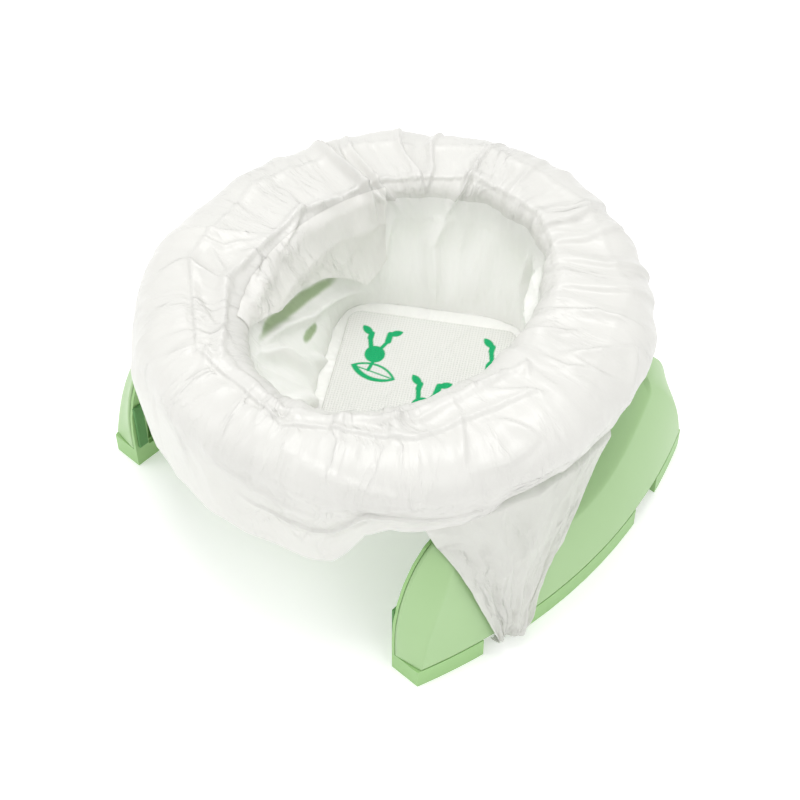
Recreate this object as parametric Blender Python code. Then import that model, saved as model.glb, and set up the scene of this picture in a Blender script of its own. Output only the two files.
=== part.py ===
"""A folding travel potty with its disposable liner, standing open on the floor.

An oval seat ring is closed below by a base plate. Two hollow D-shaped legs hang under its sides,
each on two hinge pins. A leg locks upright, folds flat under the seat for carrying, or swings out
flat so that the seat rests on a toilet. A film bag is pulled over the ring, its handles go down to
notches in the legs' rims, and an absorbent pad lies on its floor.

Axes: +X to the right leg, +Y to the rear, +Z up; the origin is on the floor below the middle.
"""

import math

import bmesh
import bpy
from mathutils import Matrix, Vector

MM = 0.001
GAP = 0.3 * MM  # clearance kept between pieces that touch
ADD, CUT = "UNION", "DIFFERENCE"

# Seat ring, an oval that is long along Y
RING_HALF_WIDTH = 137 * MM
RING_HALF_LENGTH = 141 * MM
OPENING_HALF_WIDTH = 74 * MM
OPENING_HALF_LENGTH = 96 * MM
SEAT_TOP = 137 * MM
RING_BOTTOM = 110.5 * MM
RING_WALL = 2.5 * MM
OUTER_ROUNDING = (22 * MM, 17 * MM)  # across, down
INNER_ROUNDING = (17 * MM, 15 * MM)
ROUNDING_STEPS = 3
OVAL_SEGMENTS = 40

# Base plate under the ring, with its screws
PLATE = 2.5 * MM
SCREWS = 6
BOSS_RADIUS = 5 * MM
SCREW_HOLE = 1.9 * MM
SCREW_SHANK = 1.5 * MM
SCREW_LENGTH = 16 * MM
HEAD_RADIUS = 3.4 * MM
HEAD_HEIGHT = 1.6 * MM

# Leg hinges: each leg turns about a line along Y
HINGE_X = 105 * MM
HINGE_Z = 104 * MM
HINGE_Y = 45 * MM  # middle of each knuckle, front and rear
KNUCKLE_RADIUS = 4.5 * MM
KNUCKLE_LENGTH = 12.8 * MM
EAR_RADIUS = 5.5 * MM
EAR_THICKNESS = 4 * MM
PIN_RADIUS = 2 * MM
BORE_RADIUS = 2.35 * MM
PIN_HEAD = 3.2 * MM
ROUND_SIDES = 16

# Leg outline, seen along X: upright ends, elliptical corners, and a top that follows the ring
LEG_PLANE = 104.5 * MM  # inner face of the right leg
LEG_HALF_LENGTH = 117.5 * MM
CORNER_Y = 80.5 * MM  # centre of the corner's ellipse
CORNER_Z = 27 * MM
CORNER_ACROSS = LEG_HALF_LENGTH - CORNER_Y
CORNER_UP = 62 * MM
RING_CLEARANCE = 7.5 * MM  # between the ring's edge and the leg when it is swung out
COLUMNS = 24
ROWS = 7

# Leg depth, outwards from its inner face
FOOT_DEPTH = 41 * MM
FOOT_TAPER = 21.5 * MM  # how much shallower the ends are
TAPER_REACH = 116 * MM
RIDGE_DEPTH = 19.5 * MM
RIDGE_LEAN = 0.085
RIDGE_INSET = (2 * MM, 16 * MM)  # at the rim, and at the top
RIDGE_INSET_RISE = 62 * MM
SHOULDER = 16 * MM
EDGE_DEPTH = 4.2 * MM
CROWN_RISE = 70 * MM
COVER_WALL = 2.5 * MM
COVER_BASE = 2.2 * MM
LIP = 0.5 * MM

# Leg frame
RIM_HEIGHT = 13.5 * MM
FRAME_WALL = 2.5 * MM
FLANGE = 1.9 * MM
FLANGE_WIDTH = 10 * MM
SILL = 12 * MM
NOTCH_Y = 64 * MM
NOTCH_WIDTH = 27 * MM
NOTCH_DEPTH = 16 * MM
TONGUE_HALF = 55 * MM
TONGUE_TOP = 95 * MM
TONGUE = (102.5 * MM, 106.5 * MM)
TONGUE_LAP = 6 * MM
LEG_SCREW_Y = 106 * MM
LEG_SCREW_Z = 58 * MM
LEG_SCREW_LENGTH = 4.6 * MM
LEG_BOSS_RADIUS = 3.6 * MM
LEG_BOSS_HEIGHT = 4.2 * MM

# Latch in the middle of each leg: a sliding button whose nose rides on a cam round the hinge line
CAM_RADIUS = 7 * MM
CAM_HALF = 9 * MM
CAM_NOTCH = 1.2 * MM
WINDOW_HALF = 11 * MM
WINDOW_BOTTOM = 62.5 * MM
SLIDER_BOTTOM = 71.5 * MM
SLIDER_TOP = 94 * MM
NOSE_HALF = 8 * MM
THUMB = (100.4 * MM, 102.2 * MM)
THUMB_HALF = 14 * MM
THUMB_Z = (74 * MM, 90 * MM)
THUMB_RIDGES = 4
RIDGE_SIZE = 0.7 * MM
SPRING_RADIUS = 1.2 * MM
SPRING_WIRE = 0.3 * MM
SPRING_TURNS = 6
SPRING_STEPS = 7

# Rubber grip pads on the legs' inner faces
PAD_THICKNESS = 1.8 * MM
GRIP_Y = (109 * MM, 115.5 * MM)
GRIP_Z = (16 * MM, 50 * MM)

# Film liner and its absorbent pad
FILM = 1.2 * MM
FILM_LIFT = 0.5 * MM
HEM_LOW = 70 * MM
HEM_HIGH = 104 * MM
HEM_X = (82 * MM, 100 * MM)  # the hem rises between these
BOWL = (  # half width, half length, height
    (72.2 * MM, 94.2 * MM, 107 * MM),
    (76 * MM, 97 * MM, 98 * MM),
    (84 * MM, 100 * MM, 82 * MM),
    (84.5 * MM, 100 * MM, 58 * MM),
    (82.5 * MM, 98 * MM, 51.5 * MM),
    (80 * MM, 95 * MM, 50 * MM),
)
PAD_SIZE = (104 * MM, 100 * MM, 4 * MM)
PAD_CENTRE = (5 * MM, 13 * MM)
PAD_TURN = math.radians(32)
PAD_CORNER = 8 * MM
HANDLE_TOP = 103 * MM
HANDLE_BOTTOM = 3 * MM
HANDLE_TOP_Y = (-90 * MM, 12 * MM)
HANDLE_BOTTOM_Y = (-73 * MM, -56 * MM)
HANDLE_STEPS = 8


def finish(name, colour, roughness, metallic=0.0):
    """A Principled material; colour is sRGB from 0 to 1."""
    material = bpy.data.materials.new(name)
    material.use_nodes = True
    shader = material.node_tree.nodes["Principled BSDF"]
    linear = [((c + 0.055) / 1.055) ** 2.4 if c > 0.04 else c / 12.92 for c in colour]
    shader.inputs["Base Color"].default_value = (*linear, 1)
    shader.inputs["Roughness"].default_value = roughness
    shader.inputs["Metallic"].default_value = metallic
    material.diffuse_color = (*linear, 1)
    return material


def empty(name, place):
    """A joint's empty, on its axis."""
    made = bpy.data.objects.new(name, None)
    made.location = place
    bpy.context.scene.collection.objects.link(made)
    return made


def mesh_object(name, bm, smooth=True):
    """The bmesh as an object in the scene, facing out."""
    bmesh.ops.recalc_face_normals(bm, faces=bm.faces)
    mesh = bpy.data.meshes.new(name)
    bm.to_mesh(mesh)
    bm.free()
    if smooth:
        mesh.shade_smooth()
        mesh.set_sharp_from_angle(angle=math.radians(35))
    made = bpy.data.objects.new(name, mesh)
    bpy.context.scene.collection.objects.link(made)
    return made


def dress(piece, material, pivot=None):
    """Gives a piece its material, and its origin at the joint that carries it."""
    piece.data.materials.clear()
    piece.data.materials.append(material)
    if pivot:
        piece.data.transform(Matrix.Translation(-pivot.location))
        piece.parent = pivot
    return piece


def box(low, high):
    bm = bmesh.new()
    size = [b - a for a, b in zip(low, high)]
    middle = [(a + b) / 2 for a, b in zip(low, high)]
    bmesh.ops.create_cube(bm, size=1, matrix=Matrix.LocRotScale(middle, None, size))
    return bm


def rod(start, end, radius, sides=ROUND_SIDES):
    """A cylinder from start to end."""
    bm = bmesh.new()
    along = Vector(end) - Vector(start)
    turn = along.to_track_quat("Z", "Y").to_matrix().to_4x4() @ Matrix.Rotation(math.pi / sides, 4, "Z")
    place = Matrix.Translation((Vector(start) + Vector(end)) / 2) @ turn
    bmesh.ops.create_cone(
        bm, cap_ends=True, segments=sides, radius1=radius, radius2=radius, depth=along.length, matrix=place
    )
    return bm


def prism(outline, axis, low, high):
    """A flat outline pushed along an axis; its points leave out that axis and keep the others' order."""
    bm = bmesh.new()
    place = "XYZ".index(axis)
    corners = [(*point[:place], low, *point[place:]) for point in outline]
    face = bm.faces.new([bm.verts.new(corner) for corner in corners])
    step = [high - low if k == place else 0 for k in range(3)]
    pushed = bmesh.ops.extrude_face_region(bm, geom=[face], use_keep_orig=True)
    bmesh.ops.translate(bm, vec=step, verts=[v for v in pushed["geom"] if isinstance(v, bmesh.types.BMVert)])
    return bm


def lug(x, low_y, high_y, radius, sides=ROUND_SIDES):
    """A hanging lug with a round lower end about the hinge line, rooted in the base plate."""
    root = RING_BOTTOM + PLATE / 2
    turns = [math.pi * (1 + k / sides) for k in range(sides + 1)]
    arc = [(x + radius * math.cos(turn), HINGE_Z + radius * math.sin(turn)) for turn in turns]
    return prism([(x - radius, root), *arc, (x + radius, root)], "Y", low_y, high_y)


def band(sections):
    """A closed tube through the sections, which go round the seat and back to the first."""
    bm = bmesh.new()
    loops = [[bm.verts.new(point) for point in section] for section in sections]
    for here, there in zip(loops, loops[1:] + loops[:1]):
        for a, b, c, d in zip(here, there, there[1:] + there[:1], here[1:] + here[:1]):
            bm.faces.new((a, b, c, d))
    return bm


def combined(name, base, *steps):
    """One solid from a bmesh and the steps done to it in order, each ADD or CUT with a bmesh."""
    result = mesh_object(name, base, smooth=False)
    for operation, bm in steps:
        tool = mesh_object(name + "_tool", bm, smooth=False)
        step = result.modifiers.new(operation.lower(), "BOOLEAN")
        step.operation = operation
        step.solver = "EXACT"
        step.object = tool
        shape = bpy.data.meshes.new_from_object(result.evaluated_get(bpy.context.evaluated_depsgraph_get()))
        result.modifiers.clear()
        result.data = shape
        bpy.data.objects.remove(tool)
    result.data.name = name
    result.data.shade_smooth()
    result.data.set_sharp_from_angle(angle=math.radians(35))
    return result


def mirrored(piece, name):
    """A copy of the piece for the left side."""
    bm = bmesh.new()
    bm.from_mesh(piece.data)
    bmesh.ops.scale(bm, vec=(-1, 1, 1), verts=bm.verts)
    bmesh.ops.reverse_faces(bm, faces=bm.faces)
    mesh = bpy.data.meshes.new(name)
    bm.to_mesh(mesh)
    bm.free()
    mesh.shade_smooth()
    mesh.set_sharp_from_angle(angle=math.radians(35))
    made = bpy.data.objects.new(name, mesh)
    bpy.context.scene.collection.objects.link(made)
    return made


# The seat


def around():
    return [2 * math.pi * k / OVAL_SEGMENTS for k in range(OVAL_SEGMENTS)]


def on_oval(half_width, half_length, height, angle):
    return (half_width * math.cos(angle), half_length * math.sin(angle), height)


def crown(offset):
    """The ring's section from its outer wall over the top to its inner wall, grown by offset."""
    points = []
    steps = [k / ROUNDING_STEPS * math.pi / 2 for k in range(ROUNDING_STEPS + 1)]
    for turn in steps:
        inset = (OUTER_ROUNDING[0] + offset) * (1 - math.cos(turn)) - offset
        drop = (OUTER_ROUNDING[1] + offset) * (1 - math.sin(turn)) - offset
        points.append((RING_HALF_WIDTH - inset, RING_HALF_LENGTH - inset, SEAT_TOP - drop))
    for turn in reversed(steps):
        inset = (INNER_ROUNDING[0] + offset) * (1 - math.cos(turn)) - offset
        drop = (INNER_ROUNDING[1] + offset) * (1 - math.sin(turn)) - offset
        points.append((OPENING_HALF_WIDTH + inset, OPENING_HALF_LENGTH + inset, SEAT_TOP - drop))
    return points


def screw_places():
    """Where the ring's screws stand: between the hinges, and at the front and rear."""
    half_width = (RING_HALF_WIDTH + OPENING_HALF_WIDTH) / 2
    half_length = (RING_HALF_LENGTH + OPENING_HALF_LENGTH) / 2
    angles = [math.pi * (2 * k + 1) / SCREWS for k in range(SCREWS)]
    return [Vector(on_oval(half_width, half_length, 0, angle)) for angle in angles]


def at_height(place, height):
    return Vector((place.x, place.y, height))


def seat_ring():
    """A shell open below, with a boss over each screw."""
    skin = crown(0)
    lining = crown(-RING_WALL)
    outline = [(*skin[0][:2], RING_BOTTOM), *skin, (*skin[-1][:2], RING_BOTTOM)]
    outline += [(*lining[-1][:2], RING_BOTTOM), *reversed(lining), (*lining[0][:2], RING_BOTTOM)]
    shell = band([[on_oval(*point, angle) for point in outline] for angle in around()])
    bottom = RING_BOTTOM + PLATE + GAP
    top = RING_BOTTOM + SCREW_LENGTH + MM
    steps = []
    for p in screw_places():
        steps.append((ADD, rod(at_height(p, bottom), at_height(p, SEAT_TOP - MM), BOSS_RADIUS)))
        steps.append((CUT, rod(at_height(p, bottom - MM), at_height(p, top), SCREW_HOLE)))
    return combined("seat_ring", shell, *steps)


def seat_base():
    """The plate that closes the ring, with the hinge ears and the latch cams below it."""
    lining = crown(-RING_WALL - GAP)
    outer, inner = lining[0][:2], lining[-1][:2]
    heights = (RING_BOTTOM, RING_BOTTOM + PLATE)
    outline = [(*outer, heights[0]), (*outer, heights[1]), (*inner, heights[1]), (*inner, heights[0])]
    plate = band([[on_oval(*point, angle) for point in outline] for angle in around()])
    steps = []
    for side in (-1, 1):
        x = side * HINGE_X
        for middle in (-HINGE_Y, HINGE_Y):
            for way in (-1, 1):
                near = middle + way * (KNUCKLE_LENGTH / 2 + GAP)
                low_y, high_y = sorted((near, near + way * EAR_THICKNESS))
                steps.append((ADD, lug(x, low_y, high_y, EAR_RADIUS)))
            reach = KNUCKLE_LENGTH / 2 + EAR_THICKNESS + MM
            bore = rod((x, middle - reach, HINGE_Z), (x, middle + reach, HINGE_Z), BORE_RADIUS)
            steps.append((CUT, bore))
        steps.append((ADD, lug(x, -CAM_HALF, CAM_HALF, CAM_RADIUS)))
        for across, down in ((0, 1), (1, 0), (-1, 0)):
            notch = Vector((x + across * CAM_RADIUS, 0, HINGE_Z - down * CAM_RADIUS))
            reach = Vector((0, CAM_HALF + MM, 0))
            steps.append((CUT, rod(notch - reach, notch + reach, CAM_NOTCH, 10)))
    for p in screw_places():
        hole = rod(at_height(p, heights[0] - MM), at_height(p, heights[1] + MM), SCREW_HOLE)
        steps.append((CUT, hole))
    return combined("seat_base", plate, *steps)


def screw(name, place, direction, length):
    """A pan-head screw with its head's end at place."""
    head = rod(place, place + direction * HEAD_HEIGHT, HEAD_RADIUS, 16)
    tip = place + direction * (HEAD_HEIGHT + length)
    shank = rod(place + direction * HEAD_HEIGHT / 2, tip, SCREW_SHANK, 12)
    return combined(name, head, (ADD, shank))


def hinge_pin(name, side, middle):
    """A headed pin through two ears and the knuckle between them."""
    reach = KNUCKLE_LENGTH / 2 + EAR_THICKNESS + 1.2 * MM
    x = side * HINGE_X
    outward = math.copysign(1, middle)
    start = (x, middle - outward * reach, HINGE_Z)
    neck = (x, middle + outward * (reach - 0.9 * MM), HINGE_Z)
    end = (x, middle + outward * (reach + MM), HINGE_Z)
    return combined(name, rod(start, end, PIN_RADIUS, 16), (ADD, rod(neck, end, PIN_HEAD, 16)))


# The legs, modelled for the right side


def ring_edge(y):
    """The seat's half width at y."""
    return RING_HALF_WIDTH * math.sqrt(1 - (y / RING_HALF_LENGTH) ** 2)


def leg_top(y):
    """The height of the leg's outline at y."""
    y = abs(y)
    if y <= CORNER_Y:
        return HINGE_Z + HINGE_X - RING_CLEARANCE - ring_edge(y)
    return CORNER_Z + CORNER_UP * math.sqrt(max(0, 1 - ((y - CORNER_Y) / CORNER_ACROSS) ** 2))


def leg_reach(z):
    """The half length of the leg's outline at z."""
    rise = min(1, max(0, z - CORNER_Z) / CORNER_UP)
    return CORNER_Y + CORNER_ACROSS * math.sqrt(1 - rise**2)


def foot_depth(y):
    return FOOT_DEPTH - FOOT_TAPER * (y / TAPER_REACH) ** 2


def cover_depth(y, z):
    """How far the cover stands out from the leg's inner face."""
    rise = max(0, z - RIM_HEIGHT)
    fullness = 1 - (rise / CROWN_RISE) ** 1.6
    face = RIDGE_DEPTH - RIDGE_LEAN * rise + (foot_depth(y) - RIDGE_DEPTH) * fullness
    inset = RIDGE_INSET[0] + (RIDGE_INSET[1] - RIDGE_INSET[0]) * min(1, rise / RIDGE_INSET_RISE)
    end = min(1, max(0, leg_reach(z) - abs(y)) / inset)
    shoulder = 1
    if abs(y) < CORNER_Y:
        shoulder = math.sin(math.pi / 2 * min(1, max(0, leg_top(y) - z) / SHOULDER))
    return EDGE_DEPTH + (face - EDGE_DEPTH) * min(end, shoulder)


def columns():
    """Places along Y, closer together towards the ends."""
    return [LEG_HALF_LENGTH * math.sin(math.pi * (k / COLUMNS - 0.5)) for k in range(COLUMNS + 1)]


def cover_skin(wall):
    """Columns of points over the cover's face, from the rim upwards, drawn in by wall."""
    bottom = RIM_HEIGHT + 0.5 * MM
    shrink = 1 - wall / LEG_HALF_LENGTH
    skin = []
    for y in columns():
        column = []
        for k in range(ROWS + 1):
            share = k / ROWS
            depth = cover_depth(y, RIM_HEIGHT + share * (leg_top(y) - RIM_HEIGHT)) - wall
            z = bottom + share * (leg_top(y) - wall - bottom)
            column.append((LEG_PLANE + max(depth, COVER_BASE + LIP), y * shrink, z))
        skin.append(column)
    return skin


def skin_faces(bm, skin):
    """The skin as faces, with its corners along the two ends and the top, and those along the rim."""
    grid = [[bm.verts.new(point) for point in column] for column in skin]
    for here, there in zip(grid, grid[1:]):
        for a, b, c, d in zip(here, there, there[1:], here[1:]):
            bm.faces.new((a, b, c, d))
    tops = [column[-1] for column in grid[1:-1]]
    return grid[0] + tops + grid[-1][::-1], [column[0] for column in grid]


def leg_cover():
    """The leg's outer shell, open towards the frame and the rim, with a boss for each screw."""
    bm = bmesh.new()
    base = LEG_PLANE + COVER_BASE
    outer, outer_rim = skin_faces(bm, cover_skin(0))
    inner, inner_rim = skin_faces(bm, cover_skin(COVER_WALL))
    edges = [outer, *[[bm.verts.new((base, v.co.y, v.co.z)) for v in path] for path in (outer, inner)], inner]
    for one, other in zip(edges, edges[1:]):
        for a, b, c, d in zip(one, one[1:], other[1:], other):
            bm.faces.new((a, b, c, d))
    for a, b, c, d in zip(outer_rim, outer_rim[1:], inner_rim[1:], inner_rim):
        bm.faces.new((a, b, c, d))
    for end in (0, -1):
        bm.faces.new([path[end] for path in edges])
    steps = []
    for y in (-LEG_SCREW_Y, LEG_SCREW_Y):
        foot, tip = Vector((base, y, LEG_SCREW_Z)), Vector((base + LEG_BOSS_HEIGHT, y, LEG_SCREW_Z))
        steps.append((ADD, rod(foot, tip, LEG_BOSS_RADIUS)))
        steps.append((CUT, rod(foot - Vector((MM, 0, 0)), tip - Vector((MM, 0, 0)), SCREW_HOLE)))
    return combined("right_leg_cover", bm, *steps)


def side_outline(inset, bottom):
    """The leg's outline seen along X, drawn in by inset above a straight bottom."""
    shrink = 1 - inset / LEG_HALF_LENGTH
    top = [(y * shrink, leg_top(y) - inset) for y in columns()]
    return [(top[0][0], bottom), *top, (top[-1][0], bottom)]


def foot_outline(inset, inner):
    """The leg's footprint, drawn in by inset."""
    shrink = 1 - inset / LEG_HALF_LENGTH
    curve = [(LEG_PLANE + foot_depth(y) - inset, y * shrink) for y in columns()]
    return [(inner, curve[0][1]), *curve, (inner, curve[-1][1])]


def leg_frame():
    """Rim with its handle notches, flange round the open inner side, tongue and knuckles."""
    rim = prism(foot_outline(0, LEG_PLANE), "Z", 0, RIM_HEIGHT)
    hollow = prism(foot_outline(FRAME_WALL, LEG_PLANE + FRAME_WALL), "Z", FRAME_WALL, RIM_HEIGHT + MM)
    flange = prism(side_outline(0, SILL - MM), "X", LEG_PLANE, LEG_PLANE + FLANGE)
    recess = prism(side_outline(FLANGE_WIDTH, SILL), "X", LEG_PLANE - MM, LEG_PLANE + FLANGE + MM / 4)
    lap = [(y, leg_top(y) - TONGUE_LAP) for y in columns() if abs(y) < TONGUE_HALF]
    tongue = prism([(-TONGUE_HALF, TONGUE_TOP), *lap, (TONGUE_HALF, TONGUE_TOP)], "X", *TONGUE)
    steps = [(CUT, hollow), (ADD, flange), (CUT, recess), (ADD, tongue)]
    half = KNUCKLE_LENGTH / 2
    for middle in (-HINGE_Y, HINGE_Y):
        neck = box((TONGUE[0], middle - half, TONGUE_TOP - MM), (TONGUE[1], middle + half, HINGE_Z))
        front, rear = Vector((HINGE_X, middle - half, HINGE_Z)), Vector((HINGE_X, middle + half, HINGE_Z))
        past = Vector((0, MM, 0))
        steps.append((ADD, neck))
        steps.append((ADD, rod(front, rear, KNUCKLE_RADIUS)))
        steps.append((CUT, rod(front - past, rear + past, BORE_RADIUS)))
    low = (TONGUE[0] - MM, -WINDOW_HALF, WINDOW_BOTTOM)
    steps.append((CUT, box(low, (TONGUE[1] + MM, WINDOW_HALF, TONGUE_TOP + MM))))
    for middle in (-NOTCH_Y, NOTCH_Y):
        outer = LEG_PLANE + foot_depth(middle)
        low = (outer - NOTCH_DEPTH, middle - NOTCH_WIDTH / 2, -MM)
        high = (outer + NOTCH_DEPTH, middle + NOTCH_WIDTH / 2, RIM_HEIGHT + MM)
        steps.append((CUT, box(low, high)))
    for y in (-LEG_SCREW_Y, LEG_SCREW_Y):
        ends = [(x, y, LEG_SCREW_Z) for x in (TONGUE[0], TONGUE[1] + MM)]
        steps.append((CUT, rod(*ends, SCREW_HOLE, 16)))
    return combined("right_leg_frame", rim, *steps)


def latch_button():
    """Slider in the tongue's window, with a ridged thumb plate inside the leg and a nose above."""
    low_x, high_x = TONGUE[0] + 0.4 * MM, TONGUE[1] - 0.4 * MM
    body = box((low_x, GAP - WINDOW_HALF, SLIDER_BOTTOM), (high_x, WINDOW_HALF - GAP, SLIDER_TOP))
    nose = box((low_x, -NOSE_HALF, SLIDER_TOP - MM), (high_x, NOSE_HALF, HINGE_Z - CAM_RADIUS - GAP))
    thumb = box((THUMB[0], -THUMB_HALF, THUMB_Z[0]), (THUMB[1], THUMB_HALF, THUMB_Z[1]))
    stem = box((THUMB[0] + MM, -NOSE_HALF, THUMB_Z[0] + MM), (low_x + MM, NOSE_HALF, THUMB_Z[1] - MM))
    steps = [(ADD, nose), (ADD, thumb), (ADD, stem)]
    pitch = (THUMB_Z[1] - THUMB_Z[0]) / THUMB_RIDGES
    for k in range(THUMB_RIDGES):
        z = THUMB_Z[0] + (k + 0.5) * pitch
        low = (THUMB[0] - RIDGE_SIZE, MM - THUMB_HALF, z - RIDGE_SIZE)
        steps.append((ADD, box(low, (THUMB[0] + RIDGE_SIZE, THUMB_HALF - MM, z + RIDGE_SIZE))))
    return combined("right_latch_button", body, *steps)


def latch_spring():
    """A coil spring under the slider."""
    low = WINDOW_BOTTOM + GAP + SPRING_WIRE
    high = SLIDER_BOTTOM - GAP - SPRING_WIRE
    curve = bpy.data.curves.new("right_latch_spring", "CURVE")
    curve.dimensions = "3D"
    curve.bevel_depth = SPRING_WIRE
    curve.bevel_resolution = 1
    curve.use_fill_caps = True
    count = SPRING_TURNS * SPRING_STEPS + 1
    spline = curve.splines.new("POLY")
    spline.points.add(count - 1)
    for k, point in enumerate(spline.points):
        share = k / (count - 1)
        angle = 2 * math.pi * SPRING_TURNS * share
        x = sum(TONGUE) / 2 + SPRING_RADIUS * math.cos(angle)
        point.co = (x, SPRING_RADIUS * math.sin(angle), low + (high - low) * share, 1)
    coil = bpy.data.objects.new("coil", curve)
    bpy.context.scene.collection.objects.link(coil)
    bm = bmesh.new()
    bm.from_mesh(bpy.data.meshes.new_from_object(coil.evaluated_get(bpy.context.evaluated_depsgraph_get())))
    bpy.data.objects.remove(coil)
    bmesh.ops.remove_doubles(bm, verts=bm.verts, dist=0.001 * MM)
    return mesh_object("right_latch_spring", bm)


def grip_pad(name, way):
    """A rubber pad on the inner face, near one end of the leg."""
    low_y, high_y = sorted((way * GRIP_Y[0], way * GRIP_Y[1]))
    bm = box((LEG_PLANE - GAP - PAD_THICKNESS, low_y, GRIP_Z[0]), (LEG_PLANE - GAP, high_y, GRIP_Z[1]))
    inner = LEG_PLANE - GAP - PAD_THICKNESS / 2
    edges = [e for e in bm.edges if all(v.co.x < inner for v in e.verts)]
    bmesh.ops.bevel(bm, geom=edges, offset=0.6 * MM, segments=2, profile=0.5, affect="EDGES")
    return mesh_object(name, bm)


# The liner


def hem_height(angle):
    """The skirt hangs lower at the front and rear than over the legs."""
    x = abs(RING_HALF_WIDTH * math.cos(angle))
    share = min(1, max(0, (x - HEM_X[0]) / (HEM_X[1] - HEM_X[0])))
    return HEM_LOW + (HEM_HIGH - HEM_LOW) * share**2 * (3 - 2 * share)


def film_skin(bm, path):
    """One skin of the film round the seat. path gives the points from the film's start to its end at an angle."""
    loops = [[bm.verts.new(on_oval(*point, angle)) for point in path(angle)] for angle in around()]
    for here, there in zip(loops, loops[1:] + loops[:1]):
        for a, b, c, d in zip(here, there, there[1:], here[1:]):
            bm.faces.new((a, b, c, d))
    return [loop[0] for loop in loops], [loop[-1] for loop in loops]


def join_rims(bm, one, other):
    for a, b, c, d in zip(one, one[1:] + one[:1], other[1:] + other[:1], other):
        bm.faces.new((a, b, c, d))


def liner_cuff():
    """The bag's turned-down mouth: a closed shell from the hem over the ring to the opening's wall."""

    def path(lift):
        over = crown(lift)
        return lambda angle: [(*over[0][:2], hem_height(angle)), *over]

    bm = bmesh.new()
    upper = film_skin(bm, path(FILM_LIFT + FILM))
    lower = film_skin(bm, path(FILM_LIFT))
    join_rims(bm, upper[0], lower[0])
    join_rims(bm, upper[1], lower[1])
    return mesh_object("liner_cuff", bm)


def liner_bowl():
    """The bag's body: a basin that hangs in the opening from the cuff's inner edge."""
    half_width, half_length, edge = crown(FILM_LIFT)[-1]
    top = (half_width - FILM, half_length - FILM, edge - GAP)

    def path(sink):
        walls = [(w + sink, l + sink, z) for w, l, z in (top, *BOWL[:-1])]
        return lambda angle: [*walls, (BOWL[-1][0] + sink, BOWL[-1][1] + sink, BOWL[-1][2] - sink)]

    bm = bmesh.new()
    upper = film_skin(bm, path(0))
    lower = film_skin(bm, path(FILM))
    join_rims(bm, upper[0], lower[0])
    for rim in (upper[1], lower[1]):
        bm.faces.new(rim)
    return mesh_object("liner_bowl", bm)


def absorbent_pad():
    bm = box([-side / 2 for side in PAD_SIZE], [side / 2 for side in PAD_SIZE])
    upright = [e for e in bm.edges if abs(e.verts[0].co.z - e.verts[1].co.z) > PAD_SIZE[2] / 2]
    bmesh.ops.bevel(bm, geom=upright, offset=PAD_CORNER, segments=4, profile=0.5, affect="EDGES")
    floor = BOWL[-1][2] + GAP + PAD_SIZE[2] / 2
    bmesh.ops.rotate(bm, cent=(0, 0, 0), matrix=Matrix.Rotation(PAD_TURN, 3, "Z"), verts=bm.verts)
    bmesh.ops.translate(bm, vec=(*PAD_CENTRE, floor), verts=bm.verts)
    return mesh_object("absorbent_pad", bm)


def liner_handle():
    """The bag's handle, drawn from under the ring over the leg's cover to the front notch."""
    bm = bmesh.new()
    rows = []
    for i in range(HANDLE_STEPS + 1):
        down = i / HANDLE_STEPS
        z = HANDLE_TOP + (HANDLE_BOTTOM - HANDLE_TOP) * down
        row = []
        for k in range(HANDLE_STEPS + 1):
            across = k / HANDLE_STEPS
            top_y = HANDLE_TOP_Y[0] + (HANDLE_TOP_Y[1] - HANDLE_TOP_Y[0]) * across
            bottom_y = HANDLE_BOTTOM_Y[0] + (HANDLE_BOTTOM_Y[1] - HANDLE_BOTTOM_Y[0]) * across
            y = top_y + (bottom_y - top_y) * down
            straight = ring_edge(top_y) + (LEG_PLANE + foot_depth(bottom_y) - ring_edge(top_y)) * down
            leg = LEG_PLANE + (cover_depth(y, z) if z < leg_top(y) else 0)
            row.append(bm.verts.new((max(straight, leg) + 1.5 * MM, y, z)))
        rows.append(row)
    for here, there in zip(rows, rows[1:]):
        for a, b, c, d in zip(here, there, there[1:], here[1:]):
            bm.faces.new((a, b, c, d))
    sheet = bm.faces[:] + bm.edges[:] + bm.verts[:]
    pushed = bmesh.ops.extrude_face_region(bm, geom=sheet, use_keep_orig=True)["geom"]
    bmesh.ops.translate(bm, vec=(FILM, 0, 0), verts=[v for v in pushed if isinstance(v, bmesh.types.BMVert)])
    return mesh_object("right_liner_handle", bm)


def pair(piece, material, pivots=None):
    """Dresses a right-side piece and its mirror image on the left."""
    left = mirrored(piece, piece.name.replace("right", "left", 1))
    for side, one in (("right", piece), ("left", left)):
        dress(one, material, pivots[side] if pivots else None)


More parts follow.
